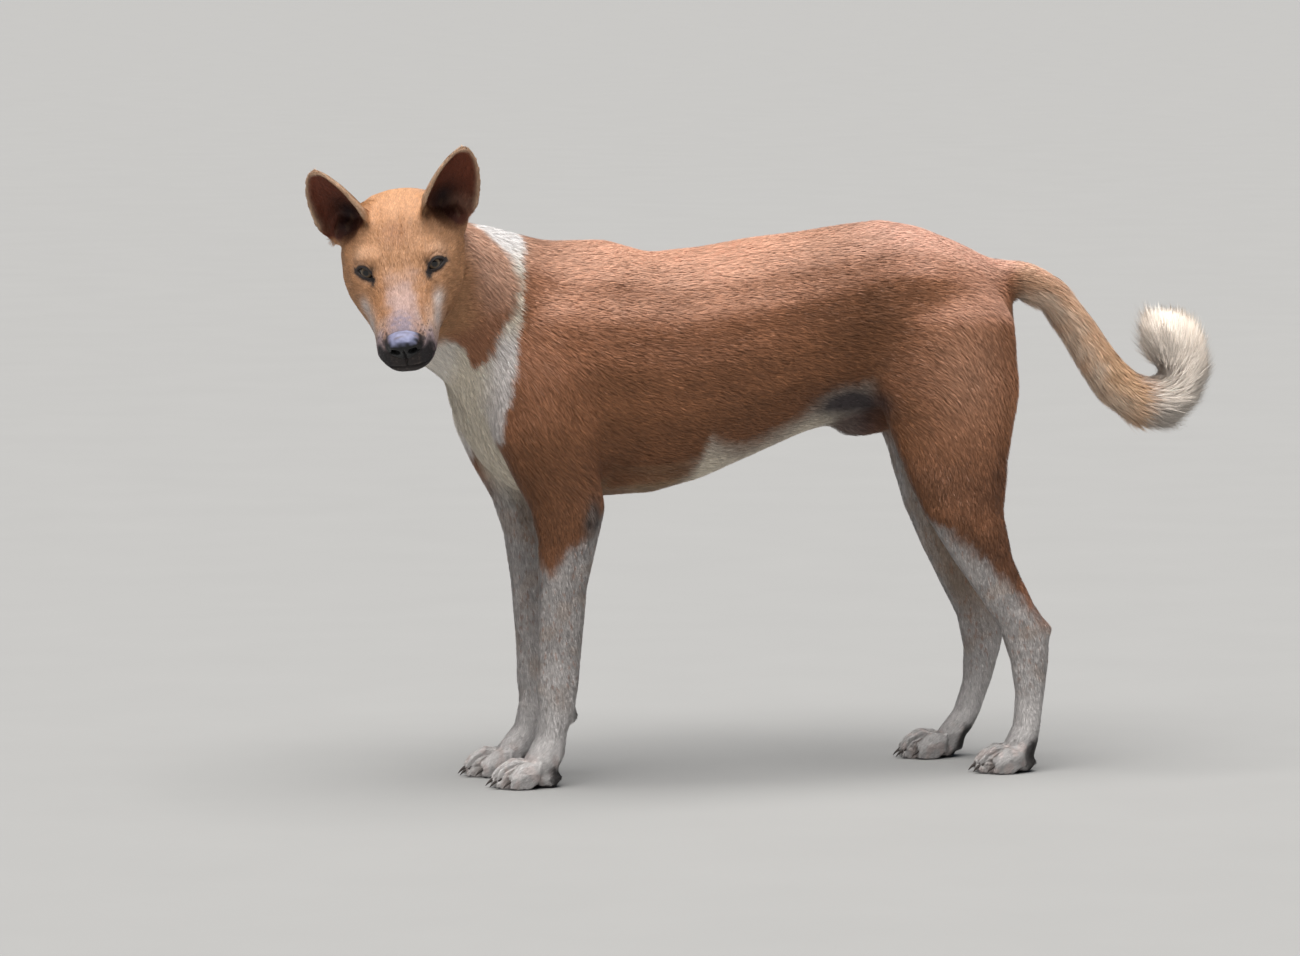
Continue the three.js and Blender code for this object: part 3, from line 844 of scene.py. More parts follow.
def leg_pale(p, n, wob, fine):
    """The white of the legs: paler low down, with brownish painted shade on the inner sides."""
    x, y, z = p.T
    pale = LEG_WHITE * (0.72 + 0.08 * wob + 0.06 * fine)[:, None]
    pale = mix(pale, WHITE * 0.66, ramp(150, 20, z)) * (1 - 0.22 * ramp(50, 30, z) * (x > 0))[:, None]
    fore_shade = ramp(-0.6, 0.0, n[:, 0]) * ramp(215, 262, z)
    hind_shade = ramp(-0.85, -0.4, n[:, 0]) * ramp(115, 185, z)
    inner = ramp(0.1, -0.4, n[:, 1] * np.sign(y))
    return layered(
        pale,
        ((0.40, 0.31, 0.25), 0.4 * ramp(0.25, 1.0, WOBBLE(p * 0.8)) * ramp(60, 110, z)),
        # brownish painted shade on the inner sides of the upper legs
        ((0.27, 0.195, 0.14), 0.85 * inner * np.where(x < 0, fore_shade, hind_shade)),
    )


def paw_pads(p, n, fine):
    x, _, z = p.T
    high = np.where(x < 0, 21, 32)
    pads = [
        ramp(0.1, 0.4, n[:, 0]) * ramp(high + 6, high - 3, z + 2 * fine) * ramp(6, 12, x - heel_line(p)),
        ramp(-0.5, -0.8, n[:, 2]) * ramp(12, 8, z),
    ]
    for _, middle, _ in FORE_PAWS:
        wrist = np.clip(1.6 * blob(p, (-191, middle, 71), (5, 9, 6)), 0, 1)
        pads.append(wrist * ramp(0.2, 0.5, n[:, 0]))
    return highest(*pads)


def with_legs(colour, p, n, wob, fine, jag):
    """The legs' white, calluses, pads, rosy skin, painted shade in the toes' gaps and the tan ticking."""
    z = p[:, 2]
    legs = leg_weight(p)
    white = leg_white(p, n, wob, jag)
    pads = paw_pads(p, n, fine)
    callus = sum(blob(p, (-184, y, 268), (8, 18, 16)) for y in (-72, 82))
    callus_colour = np.array([0.12, 0.10, 0.09]) * (1 + 0.4 * fine)[:, None]
    rosy = ramp(0.1, 0.6, WOBBLE_FINE(p * 0.6)) * ramp(40, 26, z) * legs * (1 - pads)
    ticking = ramp(0.75, 1.35, SPECKLE(p) + 0.3 * fine) * white * legs * ramp(60, 110, z)
    return layered(
        colour,
        (leg_pale(p, n, wob, fine), white * legs),
        (callus_colour, np.clip(callus * 1.4, 0, 0.88)),
        ((0.028, 0.024, 0.023), pads * legs * 0.95),
        ((0.60, 0.47, 0.43), rosy * 0.35),
        # painted shade in the grooves between the toes
        ((0.22, 0.17, 0.15), toe_gaps(p) * ramp(26, 12, np.abs(z - 14)) * 0.75),
        (TAN * 0.7, ticking * 0.45),
    )


def with_tail(colour, p, n, wob, jag):
    """Golden above, paler inside, with a white plume that has painted shade below."""
    x = p[:, 0]
    tail = on_tail(p)
    plume = ramp(407, 429, x + 1.4 * jag) * tail
    bare = tail * (1 - plume)
    inside = ramp(0.1, -0.6, n[:, 2] + 0.25 * wob) * ramp(425, 385, x)
    gold = mix((0.72, 0.47, 0.31), (0.66, 0.42, 0.25), ramp(345, 390, x))
    colour = layered(
        colour,
        (gold, bare * (0.6 + 0.35 * ramp(300, 350, x))),
        ((0.78, 0.63, 0.50), bare * inside * 0.7),
        ((0.85, 0.76, 0.67), plume * 0.97),
    )
    # painted shade on the plume's underside
    return colour * (1 - 0.42 * plume * ramp(0.3, -0.6, n[:, 2]))[:, None]


# Soft patches of the face's upper half, the brows' ones a painted highlight: (place, radii, colour,
# strength)
FACE_PATCHES = (
    ((30, 3, 20), (15, 14, 13), (0.29, 0.125, 0.055), 0.72),  # the forehead
    # the brows' paler patches are a painted highlight on the brow ridges
    ((16, 40, 10), (12, 10, 9), (0.62, 0.37, 0.23), 0.8),  # the brows
    ((12, -40, 9), (12, 10, 9), (0.62, 0.37, 0.23), 0.8),
)
MOUTH_WHITES = ((-26, -33, -21), (-40, -29, -30), (-24, 38, -25), (-40, 33, -33))


def face_colour(q, n):
    x, y, z = q.T
    side = np.abs(y)
    wob = WOBBLE(q * 1.7)
    fine = WOBBLE_FINE(q * 1.4)
    bridge = ramp(24, 5, side + 2.5 * wob + 1.5 * fine) * ramp(6, -38, x + 4 * wob)
    sides = ramp(-22, -58, x + 4 * wob) * ramp(-6, -24, z + 2 * wob)
    stripe = ramp(13, 19, side) * ramp(31, 25, side) * ramp(-6, -20, x) * ramp(-66, -46, x)
    smoky = blob(q, (-70, 0, -6), (16, 15, 10)) * (0.75 + 0.35 * fine)
    mauve = ramp(-56, -72, x + 3 * wob) * ramp(-10, -22, z + 2 * fine) * ramp(12, 17, side)
    jaw = ramp(-50, -60, z + 1.5 * wob) * ramp(-0.05, -0.5, n[:, 2]) * ramp(50, 10, x)
    colour = layered(
        mix((0.44, 0.225, 0.11), (0.55, 0.29, 0.15), ramp(38, 70, x)),  # the crown
        *((patch, blob(q, place, radii) * strength) for place, radii, patch, strength in FACE_PATCHES),
        (PINK, bridge * 0.75),
        ((0.52, 0.39, 0.33), sides * 0.8),
        ((0.42, 0.20, 0.09), stripe * 0.55),
        *(((0.70, 0.62, 0.58), blob(q, place, (12, 5.5, 7)) * 0.85) for place in MOUTH_WHITES),
        ((0.20, 0.16, 0.20), np.clip(1.25 * smoky, 0, 0.9)),
        ((0.27, 0.215, 0.25), mauve * 0.75),
        (CREAM, jaw),
        ((0.013, 0.012, 0.013), muzzle_dark(q, fine)),
    )
    for name in EYES:
        colour = with_eye_rim(colour, q, name, fine)
    for ear in EARS:
        colour = with_ear(colour, q, n, ear)
    return with_nose(colour, q, n, fine)


def muzzle_dark(q, fine):
    """1 on the dark skin of the lips, the chin's front and beside the nose, and in the whiskers' dots."""
    x, _, z = q.T
    pale_hairs = ramp(0.55, 1.2, SPECKLE(q * 1.3)) * ramp(0.3, 1.0, nose_edge(q) / 4)
    front = ramp(-70, -80, x + 2 * fine) * ramp(-16, -26, z) * ramp(-67, -60, z)
    corners = sum(blob(q, (-37, side * 32, mouth_height(-37)), (6, 8, 4)) for side in (1, -1))
    return highest(
        bell(z - mouth_height(x), 0, 2.6) * ramp(-22, -30, x) * 0.95,
        front * (0.96 - 0.08 * pale_hairs),
        ramp(3.0, 0.5, nose_edge(q) + 1.0 * fine) * ramp(-72, -79, x) * 0.7,
        np.clip(corners, 0, 0.9),
        ramp(0.55, 1.1, SPECKLE(q)) * ramp(-44, -64, x) * ramp(-4, -16, z) * 0.7,
    )


def with_eye_rim(colour, q, name, fine):
    a, b, c, edge = lid_space(q, name)
    near = (c > -5) & (eye_distance(q, name) < 26)
    ring = ramp(3.1, 1.9, edge + 0.3 * fine) * near
    inner = np.exp(-(((a + 10.5) / 3.2) ** 2) - ((b + 9.5) / 4.0) ** 2) * near
    above = np.exp(-(((a + 7.5) / 2.6) ** 2) - ((b - 2.5) / 5.0) ** 2) * near
    colour = mix(colour, DARK_SKIN, np.clip(ring + 1.1 * inner + 0.75 * above, 0, 0.98))
    return mix(colour, (0.072, 0.0608, 0.0608), 0.35 * ramp(6.5, 2.0, edge) * near)


def with_ear(colour, q, n, ear):
    a, u, _, w = on_ear(q, ear)
    hollow, rim = ear_inside(q, n, ear)
    deep = np.exp(-(((u - 2) / 17) ** 2) - ((a - 14) / 26) ** 2)
    folds = ramp(0.2, 0.9, np.sin(u * 0.55 + 1.0) * np.sin(a * 0.22)) * ramp(22, 4, a)
    inside = layered(
        (0.17, 0.045, 0.022),
        # painted shade deep in the ear's hollow
        ((0.016, 0.007, 0.006), deep * 0.95),
        ((0.30, 0.115, 0.04), ramp(-12, -24, u) * 0.75),
        ((0.28, 0.16, 0.09), folds * 0.2),
    )
    colour = mix(colour, (0.50, 0.24, 0.10), w * 0.8)
    # the pale colour on the ear's rim is painted light on its lit edge
    return layered(colour, (inside, hollow), ((0.74, 0.54, 0.38), rim * w * 0.75))


def with_nose(colour, q, n, fine):
    """A dark pad with a painted bluish reflection of the sky on its upper side, which runs softly into the
    bridge.
    """
    x, _, z = q.T
    # top: where the pad's upper side carries a painted reflection of the sky
    top = ramp(0.2, 0.85, n[:, 2] + 0.15 * fine) * ramp(-14.0, -8.0, z + 0.8 * fine)
    pad = mix((0.010, 0.0095, 0.010), (0.29, 0.305, 0.47), top * (0.9 + 0.1 * SPECKLE(q)))
    soft = ramp(2.2, -2.2, nose_edge(q) + 0.8 * fine) * ramp(-74, -79, x)
    return mix(colour, pad, np.where(z > -14, soft, nose_weight(q)))


# ---------------- materials


def new_material(name):
    made = bpy.data.materials.new(name)
    made.use_nodes = True
    return made, made.node_tree


def set_up(tree, made, settings):
    """Sets up a node: a setting is a value, or the output that feeds the input of that name."""
    for key, value in settings.items():
        name = key.replace("_", " ")
        if name not in made.inputs:
            setattr(made, key, value)
        elif isinstance(value, bpy.types.NodeSocket):
            tree.links.new(value, made.inputs[name])
        else:
            made.inputs[name].default_value = value


def node(tree, kind, output, **settings):
    made = tree.nodes.new(kind)
    set_up(tree, made, settings)
    return made.outputs[output]


def shader(tree, **settings):
    set_up(tree, tree.nodes["Principled BSDF"], settings)


def colour_bands(tree, source, stops):
    """A colour ramp through (place, colour) stops, of which the first and the last are at its ends."""
    made = tree.nodes.new("ShaderNodeValToRGB")
    elements = made.color_ramp.elements
    elements[0].color = (*stops[0][1], 1)
    elements[1].color = (*stops[-1][1], 1)
    for at, colour in stops[1:-1]:
        elements.new(at).color = (*colour, 1)
    tree.links.new(source, made.inputs["Fac"])
    return made.outputs["Color"]


def skin_material():
    """Fine bumps like short hair, and a grained, shinier skin where it is wet."""
    made, tree = new_material("skin")
    coat = node(tree, "ShaderNodeAttribute", "Color", attribute_name="coat")
    wet = node(tree, "ShaderNodeAttribute", "Fac", attribute_name="wet")
    place = node(tree, "ShaderNodeTexCoord", "Object")
    hair = node(tree, "ShaderNodeMapping", "Vector", Vector=place, Scale=(90, 700, 420))
    noise = node(tree, "ShaderNodeTexNoise", "Fac", Vector=hair, Scale=1.0, Detail=3.0)
    grain = node(tree, "ShaderNodeTexVoronoi", "Distance", Vector=place, Scale=1400.0)
    height = node(tree, "ShaderNodeMix", "Result", data_type="FLOAT", Factor=wet, A=noise, B=grain)
    bump = node(tree, "ShaderNodeBump", "Normal", Height=height, Strength=0.5, Distance=0.0006)
    shade = node(tree, "ShaderNodeMapRange", "Result", Value=noise, To_Min=0.84, To_Max=1.16)
    rough = node(tree, "ShaderNodeMapRange", "Result", Value=wet, To_Min=0.72, To_Max=0.36)
    colour = node(tree, "ShaderNodeVectorMath", "Vector", operation="SCALE", Vector=coat, Scale=shade)
    shader(tree, Base_Color=colour, Roughness=rough, Specular_IOR_Level=0.3, Normal=bump)
    return made


def hair_material():
    made, tree = new_material("hair")
    coat = node(tree, "ShaderNodeAttribute", "Color", attribute_name="coat")
    shader(tree, Base_Color=coat, Roughness=0.55, Specular_IOR_Level=0.35)
    return made


def mottled_material(name, colour, scale, amount, roughness):
    made, tree = new_material(name)
    place = node(tree, "ShaderNodeTexCoord", "Object")
    noise = node(tree, "ShaderNodeTexNoise", "Fac", Vector=place, Scale=scale, Detail=4.0)
    stops = [(at, [c * (1 + change) for c in colour]) for at, change in ((0, -amount), (1, amount))]
    bump = node(tree, "ShaderNodeBump", "Normal", Height=noise, Strength=0.15, Distance=0.0004)
    bands = colour_bands(tree, noise, stops)
    shader(tree, Base_Color=bands, Roughness=roughness, Specular_IOR_Level=0.3, Normal=bump)
    return made


# The eye's colours, by distance from the pupil's middle as a share of the eyeball's radius
EYE_BANDS = (
    (0.0, (0.004, 0.004, 0.004)), (0.26, (0.004, 0.004, 0.004)), (0.30, (0.060, 0.040, 0.025)),
    (0.43, (0.15, 0.108, 0.070)), (0.52, (0.055, 0.036, 0.022)), (0.58, (0.006, 0.005, 0.005)),
    (0.66, (0.03, 0.02, 0.016)), (1.0, (0.045, 0.028, 0.022)),
)


def eye_material():
    """The bands, a little out of round by fine streaks."""
    made, tree = new_material("eye")
    place = node(tree, "ShaderNodeTexCoord", "Object")
    flat = node(tree, "ShaderNodeVectorMath", "Vector", operation="MULTIPLY", Vector=place)
    flat.node.inputs[1].default_value = (1, 1, 0)
    size = node(tree, "ShaderNodeVectorMath", "Value", operation="LENGTH", Vector=flat)
    streaks = node(tree, "ShaderNodeTexNoise", "Fac", Vector=place, Scale=9.0, Detail=4.0)
    shift = node(tree, "ShaderNodeMath", "Value", operation="MULTIPLY_ADD", Value=streaks)
    shift.node.inputs[1].default_value = 0.05
    tree.links.new(size, shift.node.inputs[2])
    bands = colour_bands(tree, shift, EYE_BANDS)
    shader(tree, Base_Color=bands, Roughness=0.06, Specular_IOR_Level=0.45)
    return made


# ---------------- hair


def lie(p, n):
    """The direction in which the hair lies, along the skin."""
    x, _, z = p.T
    q = to_head(p)
    zeros = np.zeros(len(p))
    way = layered(
        np.stack([zeros + 1.0, zeros, -0.10 - 0.25 * ramp(500, 380, z)], axis=1),
        ((0.45, 0, -0.9), ramp(120, 230, x) * ramp(500, 430, z)),  # the thighs
        ((0.66, 0.12, -0.74), ramp(-215, -285, x)),  # the neck
        ((0.1, 0, -1.0), ramp(-270, -310, x) * ramp(440, 400, z)),  # the chest
        ((0.45, 0, -0.9), blob(p, (-225, 0, 380), (46, 400, 70))),  # the shoulders
        ((0.22, 0, -1.0), leg_weight(p)),
        ((-0.8, 0, -0.6), ramp(62, 34, z)),  # the paws
        (tail_way(p), on_tail(p)),
    )
    aside = 0.35 * np.clip(q[:, 1] / 40, -1, 1)
    down = 0.7 * ramp(30, 55, np.abs(q[:, 1])) * ramp(12, -10, q[:, 2])
    hair = np.stack([zeros + 1.0, aside, -down], axis=1)
    for side in (-1, 1):  # round the eyes the hair fans out
        centre = np.array([6.0, side * 30, 0])
        hair += unit(q - centre) * (blob(q, centre, (17, 13, 13)) * 0.9)[:, None]
    for ear in EARS:
        hair = mix(hair, ear_frame(ear)[1], on_ear(q, ear)[3])
    return flattened(mix(way, hair @ HEAD_AXES.T, on_head(p)), n)


def lie_bend(net, normal, way):
    """How fast the skin curves away along the hair at each point, per millimetre."""
    step = net.points[net.other] - net.points[net.first]
    along = (way[net.first] * step).sum(axis=1)
    rise = ((normal[net.other] - normal[net.first]) * way[net.first]).sum(axis=1)
    top = np.add.reduceat(along * rise, net.start)
    bottom = np.add.reduceat(along * along, net.start)
    bend = np.clip(top / np.maximum(bottom, 0.05), -0.12, 0.12)
    return net.smooth(bend, np.ones(len(bend)), 12)


def hair_sizes(p, n):
    """Length, width, lift of the tip and hairs per square millimetre at each point."""
    q = to_head(p)
    z = p[:, 2]
    head = on_head(p)
    tail = on_tail(p)
    plume = tail * ramp(385, 425, p[:, 0])
    fringe = np.clip(blob(p, (262, 0, 345), (22, 400, 70)) * (1 - tail) * 1.2, 0, 1)  # behind the thighs
    sizes = layered(
        (10.0, 0.75, 2.7, 0.95),
        ((8.0, 0.8, 1.7, 1.1), leg_weight(p)),
        ((6.0, 0.7, 1.1, 1.35), ramp(270, 210, z)),
        ((4.2, 0.6, 0.6, 1.8), ramp(60, 40, z)),
        ((15, 0.9, 4.6, 1.0), fringe),
        ((17, 0.8, 6.0, 1.5), tail),
        ((19, 0.8, 9.0, 1.6), tail * ramp(0.1, -0.6, n[:, 2])),
        ((25, 0.65, 10.5, 3.4), plume),
        ((28, 0.65, 15.0, 3.6), plume * ramp(-0.1, -0.6, n[:, 0]) * ramp(365, 385, z)),
        ((7.5, 0.75, 1.6, 1.4), head),
        ((5.5, 0.62, 1.0, 2.2), head * ramp(60, 10, q[:, 0])),
        ((3.6, 0.5, 0.6, 3.0), head * ramp(-20, -60, q[:, 0])),
        ((1.8, 0.4, 0.25, 2.2), head * ramp(-72, -80, q[:, 0]) * ramp(-20, -28, q[:, 2])),
    )
    for ear in EARS:
        a, u, _, w = on_ear(q, ear)
        foot = head * 0.9 * ramp(-45, -20, a) * ramp(58, 44, np.abs(u))
        sizes = layered(sizes, ((4.5, 0.55, 0.6, 2.2), foot), ((5.0, 0.55, 0.7, 2.2), w * head))
        hollow, rim = ear_inside(q, n @ HEAD_AXES, ear)
        sizes[:, 3] *= (1 - 0.75 * head * hollow) * (1 + 0.8 * head * rim * w)
    length, width, lift, dense = sizes.T
    # none on the nose, the lips' edge, the eyes' rims and under the paws
    dense = dense * (1 - head * ramp(0.2, 0.6, nose_weight(q))) * (1 - ramp(3.5, 2.0, z))
    for name in EYES:
        c, edge = lid_space(q, name)[2:]
        near = (c > -5) & (eye_distance(q, name) < 22)
        dense *= 1 - head * near * ramp(3.2, 2.0, edge)
        length = length * (1 - 0.5 * head * near * ramp(9, 3, edge))
    mouth = np.abs(q[:, 2] - mouth_height(q[:, 0]))
    dense *= 1 - head * (q[:, 0] < -26) * ramp(2.2, 1.2, mouth)
    bare = groin(p) * (1 - leg_weight(p))
    return length * (1 - 0.5 * bare), width, lift, dense * (1 - 0.8 * bare)


def around(a, b):
    return (np.arctan2(a, b) / (2 * math.pi)) % 1


def chart(p):
    """Each place's spot on a flat unwrap: strips of cylinders for the trunk, head, legs and tail."""
    q = to_head(p)
    u = 0.02 + 0.56 * (p[:, 0] + 420) / 900
    v = 0.02 + 0.46 * around(p[:, 1], p[:, 2] - 440)
    head = on_head(p) > 0.5
    u = np.where(head, 0.02 + 0.40 * (q[:, 0] + 110) / 240, u)
    v = np.where(head, 0.52 + 0.46 * around(q[:, 1], q[:, 2] + 30), v)
    tail = (on_tail(p) > 0.5) & ~head
    u = np.where(tail, 0.62 + 0.34 * (p[:, 0] - 270) / 220, u)
    v = np.where(tail, 0.02 + 0.16 * around(p[:, 1], p[:, 2] - 410), v)
    leg = (leg_weight(p) > 0.5) & ~head & ~tail
    for k, (fore, side) in enumerate(((True, -1), (True, 1), (False, -1), (False, 1))):
        mine = leg & ((p[:, 0] < 0) == fore) & ((p[:, 1] < 0) == (side < 0))
        centre = -212 if fore else 250
        u = np.where(mine, 0.62 + 0.34 * p[:, 2] / 380, u)
        v = np.where(mine, 0.20 + 0.19 * k + 0.17 * around(p[:, 1] - side * 55, p[:, 0] - centre), v)
    return np.stack([u, v], axis=1)


def scatter(net, dense, most):
    """Random places on the skin, as a function that reads values there."""
    corner = net.points[net.tris]
    area = np.linalg.norm(np.cross(corner[:, 1] - corner[:, 0], corner[:, 2] - corner[:, 0]), axis=1) / 2
    share = area * dense[net.tris].mean(axis=1)
    count = min(most, int(share.sum()))
    bounds = np.cumsum(share)
    pick = np.searchsorted(bounds, RNG.uniform(0, bounds[-1], count))
    pick = np.minimum(pick, len(net.tris) - 1)
    pick.sort()
    r1, r2 = RNG.uniform(size=(2, count))
    r1 = np.sqrt(r1)
    mixes = np.stack([1 - r1, r1 * (1 - r2), r1 * r2], axis=1)

    def at(values):
        rows = values[net.tris[pick]]
        return (rows * (mixes[:, :, None] if values.ndim > 1 else mixes)).sum(axis=1)

    return at, count


def grow_hair(skin):
    """Hairs as kites of four points: (points, colours, spots on the chart, shading normals)."""
    net = Net(skin.data)
    normal = net.normals()
    p = net.points
    way = flattened(unit(net.smooth(lie(p, normal), np.ones(len(p)), 8)), normal)
    length, width, lift, dense = hair_sizes(p, normal)
    at, count = scatter(net, dense, HAIRS)
    root, n = at(p), unit(at(normal))
    f = flattened(unit(at(way)), n)
    plume = on_tail(root) * ramp(385, 415, root[:, 0])
    size = at(length) * RNG.uniform(0.7, 1.3, count)
    half = at(width) * RNG.uniform(0.6, 1.25, count) / 2
    rise = at(lift) * (RNG.uniform(0.35, 1.0, count) + 0.85 * plume * RNG.uniform(size=count) ** 3)
    curve = at(lie_bend(net, normal, way)) * (1 - plume)
    # at the tail's end the hair goes on along the tail, off the skin
    off = np.clip((tail_way(root) * n).sum(axis=1), 0, 1) * on_tail(root) * 0.9
    size *= 1 - 0.7 * off
    rise += size * off
    size *= np.sqrt(1 - off**2)
    # locks of hairs share a sideways swing
    swing = 0.07 * WOBBLE(root * 1.4) + 0.06 * WOBBLE_FINE(root * 0.7)
    swing = swing + RNG.normal(0, 0.09, count) * (1 + 0.8 * plume)
    f = unit(f + np.cross(n, f) * swing[:, None])
    tilt = RNG.normal(0, 0.08, count)
    across = np.cross(n, f) * np.cos(tilt)[:, None] + n * np.sin(tilt)[:, None]

    def along(t, up):
        s = size * t
        return root + f * s[:, None] + n * (up * rise - curve * s * s / 2)[:, None]

    start = along(0.0, 0.0) - n * 0.3
    middle = along(0.38, 0.9 - 0.28 * plume)
    spread = across * half[:, None]
    points = np.stack([start, middle - spread, along(1.0, 1.0), middle + spread], axis=1)
    points[:, :, 2] = np.maximum(points[:, :, 2], 0.3)
    colour = coat_colour(root + f * (size * 0.4)[:, None], n)
    lock = 0.5 + 0.5 * np.clip(WOBBLE_FINE(root * 1.25), -1, 1)
    shade = (0.90 + 0.16 * lock) * np.exp(RNG.normal(0, 0.13, count))
    # painted shade at each hair's root and painted light at its tip
    painted_root_shade_tip_light = np.array([0.80, 1.0, 1.10, 1.0]) ** (1 - 0.7 * plume)[:, None]  # darker roots and paler tips
    colour = colour[:, None, :] * shade[:, None, None] * painted_root_shade_tip_light[:, :, None]
    shading = unit(n + 0.2 * RNG.normal(size=(count, 3)) + plume[:, None] * np.array([0.0, 0.0, 0.3]))
    return points, np.clip(colour, 0.004, 0.97), chart(root), shading


KITE = np.array([0, 1, 3, 1, 2, 3])  # its two triangles, which face outward
KITE_PATCH = np.array([[0.0, -0.0015], [0.0015, 0.0], [0.0, 0.0015], [-0.0015, 0.0]])  # on the chart


def hair_piece(name, points, colours, spots, shading, look):
    n = len(points)
    mesh = bpy.data.meshes.new(name)
    mesh.vertices.add(n * 4)
    fill(mesh.vertices, "co", to_metres(points))
    mesh.loops.add(n * 6)
    corners = np.arange(n)[:, None] * 4 + KITE
    mesh.loops.foreach_set("vertex_index", corners.astype(np.int32).ravel())
    mesh.polygons.add(n * 2)
    mesh.polygons.foreach_set("loop_start", np.arange(0, n * 6, 3, dtype=np.int32))
    mesh.update(calc_edges=True)
    shade_smooth(mesh)
    normals = mesh.attributes.new("custom_normal", "FLOAT_VECTOR", "POINT")
    fill(normals.data, "vector", np.repeat(shading, 4, axis=0))
    paint(mesh, colours.reshape(-1, 3))
    uv = mesh.uv_layers.new(name="OFBake")
    fill(uv.data, "uv", spots[:, None, :] + KITE_PATCH[KITE])
    mesh.materials.append(look)
    thing = new_object(name, mesh)
    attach(thing, "root")


# ---------------- eyes and claws

GAZE = {"left": (-1.2, -0.4), "right": (-0.8, -1.0)}  # where each iris's middle is in its opening
CORNEA = 0.84  # how far forward it begins, as a share of the eyeball's radius
CORNEA_BULGE = 0.055  # how far it stands out, as such a share


def eye_object(name, look):
    bm = bmesh.new()
    bmesh.ops.create_uvsphere(bm, u_segments=40, v_segments=28, radius=1.0)
    for v in bm.verts:
        if v.co.z > CORNEA:
            v.co *= 1 + CORNEA_BULGE * ((v.co.z - CORNEA) / (1 - CORNEA)) ** 0.8
    mesh = bpy.data.meshes.new(f"eyeball_{name}")
    bm.to_mesh(mesh)
    bm.free()
    shade_smooth(mesh)
    out, aside, up = eye_axes(name)
    gaze = Vector(HEAD_AXES @ unit(out * 12.3 + aside * GAZE[name][0] + up * GAZE[name][1]))
    spin = gaze.to_track_quat("Z", "Y").to_matrix().to_4x4()
    centre = Vector(to_metres(from_head(EYES[name])))
    mesh.materials.append(look)
    ball = new_object(f"eyeball_{name}", mesh)
    ball.matrix_world = Matrix.Translation(centre) @ spin @ Matrix.Scale(EYE_RADIUS / 1000, 4)
    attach(ball, "root")
    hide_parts(f"eye_{name}")


def horn(path, radii, sides=8):
    """A closed tapering form along a path of points, as (points, faces)."""
    rings = []
    for k, (centre, radius) in enumerate(zip(path, radii)):
        tangent = unit(path[min(k + 1, len(path) - 1)] - path[max(k - 1, 0)])
        u = unit(np.cross(tangent, [0, 1.0, 0]))
        v = np.cross(tangent, u)
        angle = np.arange(sides) * 2 * math.pi / sides
        rings.append(centre + radius * (np.cos(angle)[:, None] * u + np.sin(angle)[:, None] * v))
    faces = []
    for k in range(len(path) - 1):
        for j in range(sides):
            a, b = k * sides + j, k * sides + (j + 1) % sides
            faces.append((a, b, b + sides, a + sides))
    last = len(rings) * sides
    top = last - sides
    for j in range(sides):
        faces.append((last, (j + 1) % sides, j))
        faces.append((last + 1, top + j, top + (j + 1) % sides))
    return np.concatenate(rings + [path[:1], path[-1:]]), faces


def claw_forms():
    t = np.linspace(0, 1, 7)
    for side, middle, tip in PAWS:
        for offset, back in TOES:
            end = tip + CLAW_LENGTH + 2 + back
            y = middle + side * offset
            aside = y + side * offset * 0.05 * t
            path = np.stack([end - 12.7 * t, aside, 10.0 - 0.6 * t - 7.0 * t**2], axis=1)
            yield horn(path, 1.9 * (1 - t**1.6) ** 0.8 + 0.25)


def claws_object(look):
    points, faces, offset = [], [], 0
    for p, f in claw_forms():
        points.append(p)
        faces += [tuple(i + offset for i in face) for face in f]
        offset += len(p)
    mesh = bpy.data.meshes.new("claws")
    mesh.from_pydata(to_metres(np.concatenate(points)).tolist(), [], faces)
    bm = bmesh.new()
    bm.from_mesh(mesh)
    bmesh.ops.recalc_face_normals(bm, faces=bm.faces)
    bm.to_mesh(mesh)
    bm.free()
    shade_smooth(mesh)
    mesh.materials.append(look)
    claws = new_object("claws", mesh)
    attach(claws, "root")


# ---------------- build everything


def dress_skin(skin):
    """Colours the skin, and marks the nose and the lids' rims as wet."""
    net = Net(skin.data)
    paint(skin.data, coat_colour(net.points, net.normals()))
    q = to_head(net.points)
    wet = on_head(net.points) * nose_weight(q)
    for name in EYES:
        c, edge = lid_space(q, name)[2:]
        rim = (c > -4) & (np.abs(edge) < 1.5) & (eye_distance(q, name) < 16)
        wet = np.maximum(wet, rim * 0.35)
    layer = skin.data.attributes.new("wet", "FLOAT", "POINT")
    fill(layer.data, "value", wet)
    shade_smooth(skin.data)
    skin.data.materials.append(skin_material())
    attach(skin, "root")
    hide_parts(*FLESH)


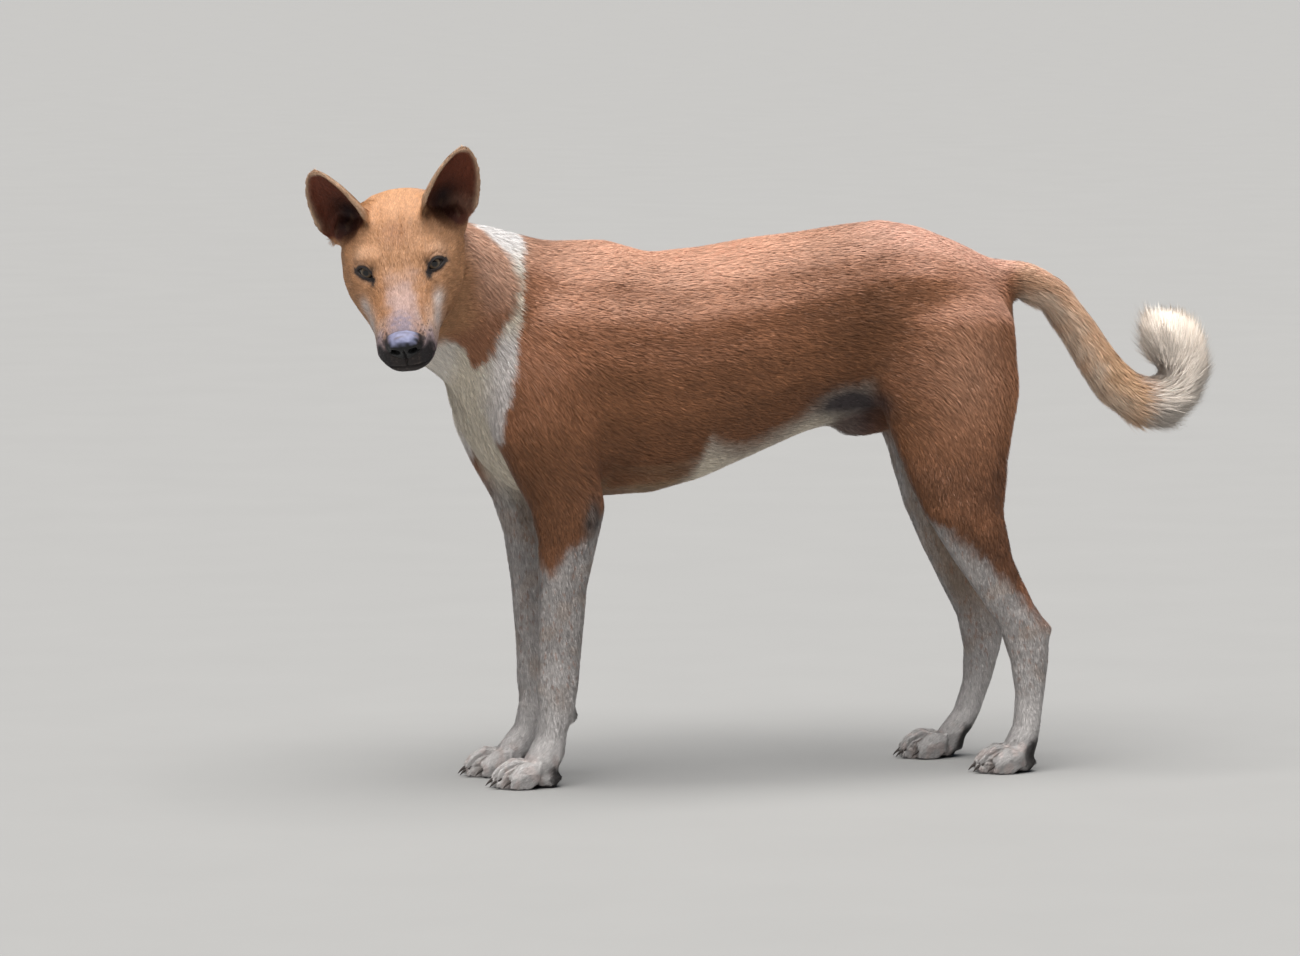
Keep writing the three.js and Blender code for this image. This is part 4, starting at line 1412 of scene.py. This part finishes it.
skin = build_skin()
dress_skin(skin)
hair = grow_hair(skin)
hair_look = hair_material()
pieces = math.ceil(len(hair[0]) / HAIRS_PER_PIECE)
edges = np.linspace(0, len(hair[0]), pieces + 1).astype(int)
for k in range(pieces):
    hair_piece(f"coat_{k + 1}", *(values[edges[k] : edges[k + 1]] for values in hair), hair_look)
eye_look = eye_material()
for name in EYES:
    eye_object(name, eye_look)
claws_object(mottled_material("claw", (0.055, 0.045, 0.04), 900, 0.4, 0.42))

# ---------------- floor, light and camera

bpy.ops.mesh.primitive_plane_add(size=600, location=(0, 250, 0))
floor = bpy.context.object
floor.name = "floor"
floor.data.materials.append(mottled_material("floor", (0.33, 0.327, 0.32), 6, 0.03, 0.8))


def sun(name, direction, strength, spread, colour):
    data = bpy.data.lights.new(name, "SUN")
    data.energy = strength
    data.angle = math.radians(spread)
    data.color = colour
    lamp = new_object(name, data)
    lamp.rotation_euler = Vector(direction).to_track_quat("-Z", "Y").to_euler()


sun("overhead", (0.10, 0.22, -1), 5.6, 64, (1.0, 0.985, 0.96))
sun("front", (0.75, 0.85, -0.55), 0.30, 50, (1.0, 0.98, 0.95))
world = bpy.data.worlds.new("studio")
bpy.context.scene.world = world
world.use_nodes = True
world.node_tree.nodes["Background"].inputs["Color"].default_value = (0.62, 0.74, 1.0, 1)
world.node_tree.nodes["Background"].inputs["Strength"].default_value = 0.10
bpy.context.scene.view_settings.view_transform = "Standard"

CAMERA_AZIMUTH, CAMERA_RISE, CAMERA_DISTANCE = math.radians(-16), math.radians(5.5), 6500.0
CAMERA_TARGET = np.array([-105.0, 0.0, 301.0])
backward = np.array([
    math.sin(CAMERA_AZIMUTH) * math.cos(CAMERA_RISE),
    -math.cos(CAMERA_AZIMUTH) * math.cos(CAMERA_RISE),
    math.sin(CAMERA_RISE),
])
camera = new_object("camera", bpy.data.cameras.new("camera"))
camera.location = Vector(to_metres(CAMERA_TARGET + backward * CAMERA_DISTANCE))
camera.rotation_euler = Vector(-backward).to_track_quat("-Z", "Y").to_euler()
camera.data.sensor_width = 36
camera.data.lens = 180
bpy.context.scene.camera = camera
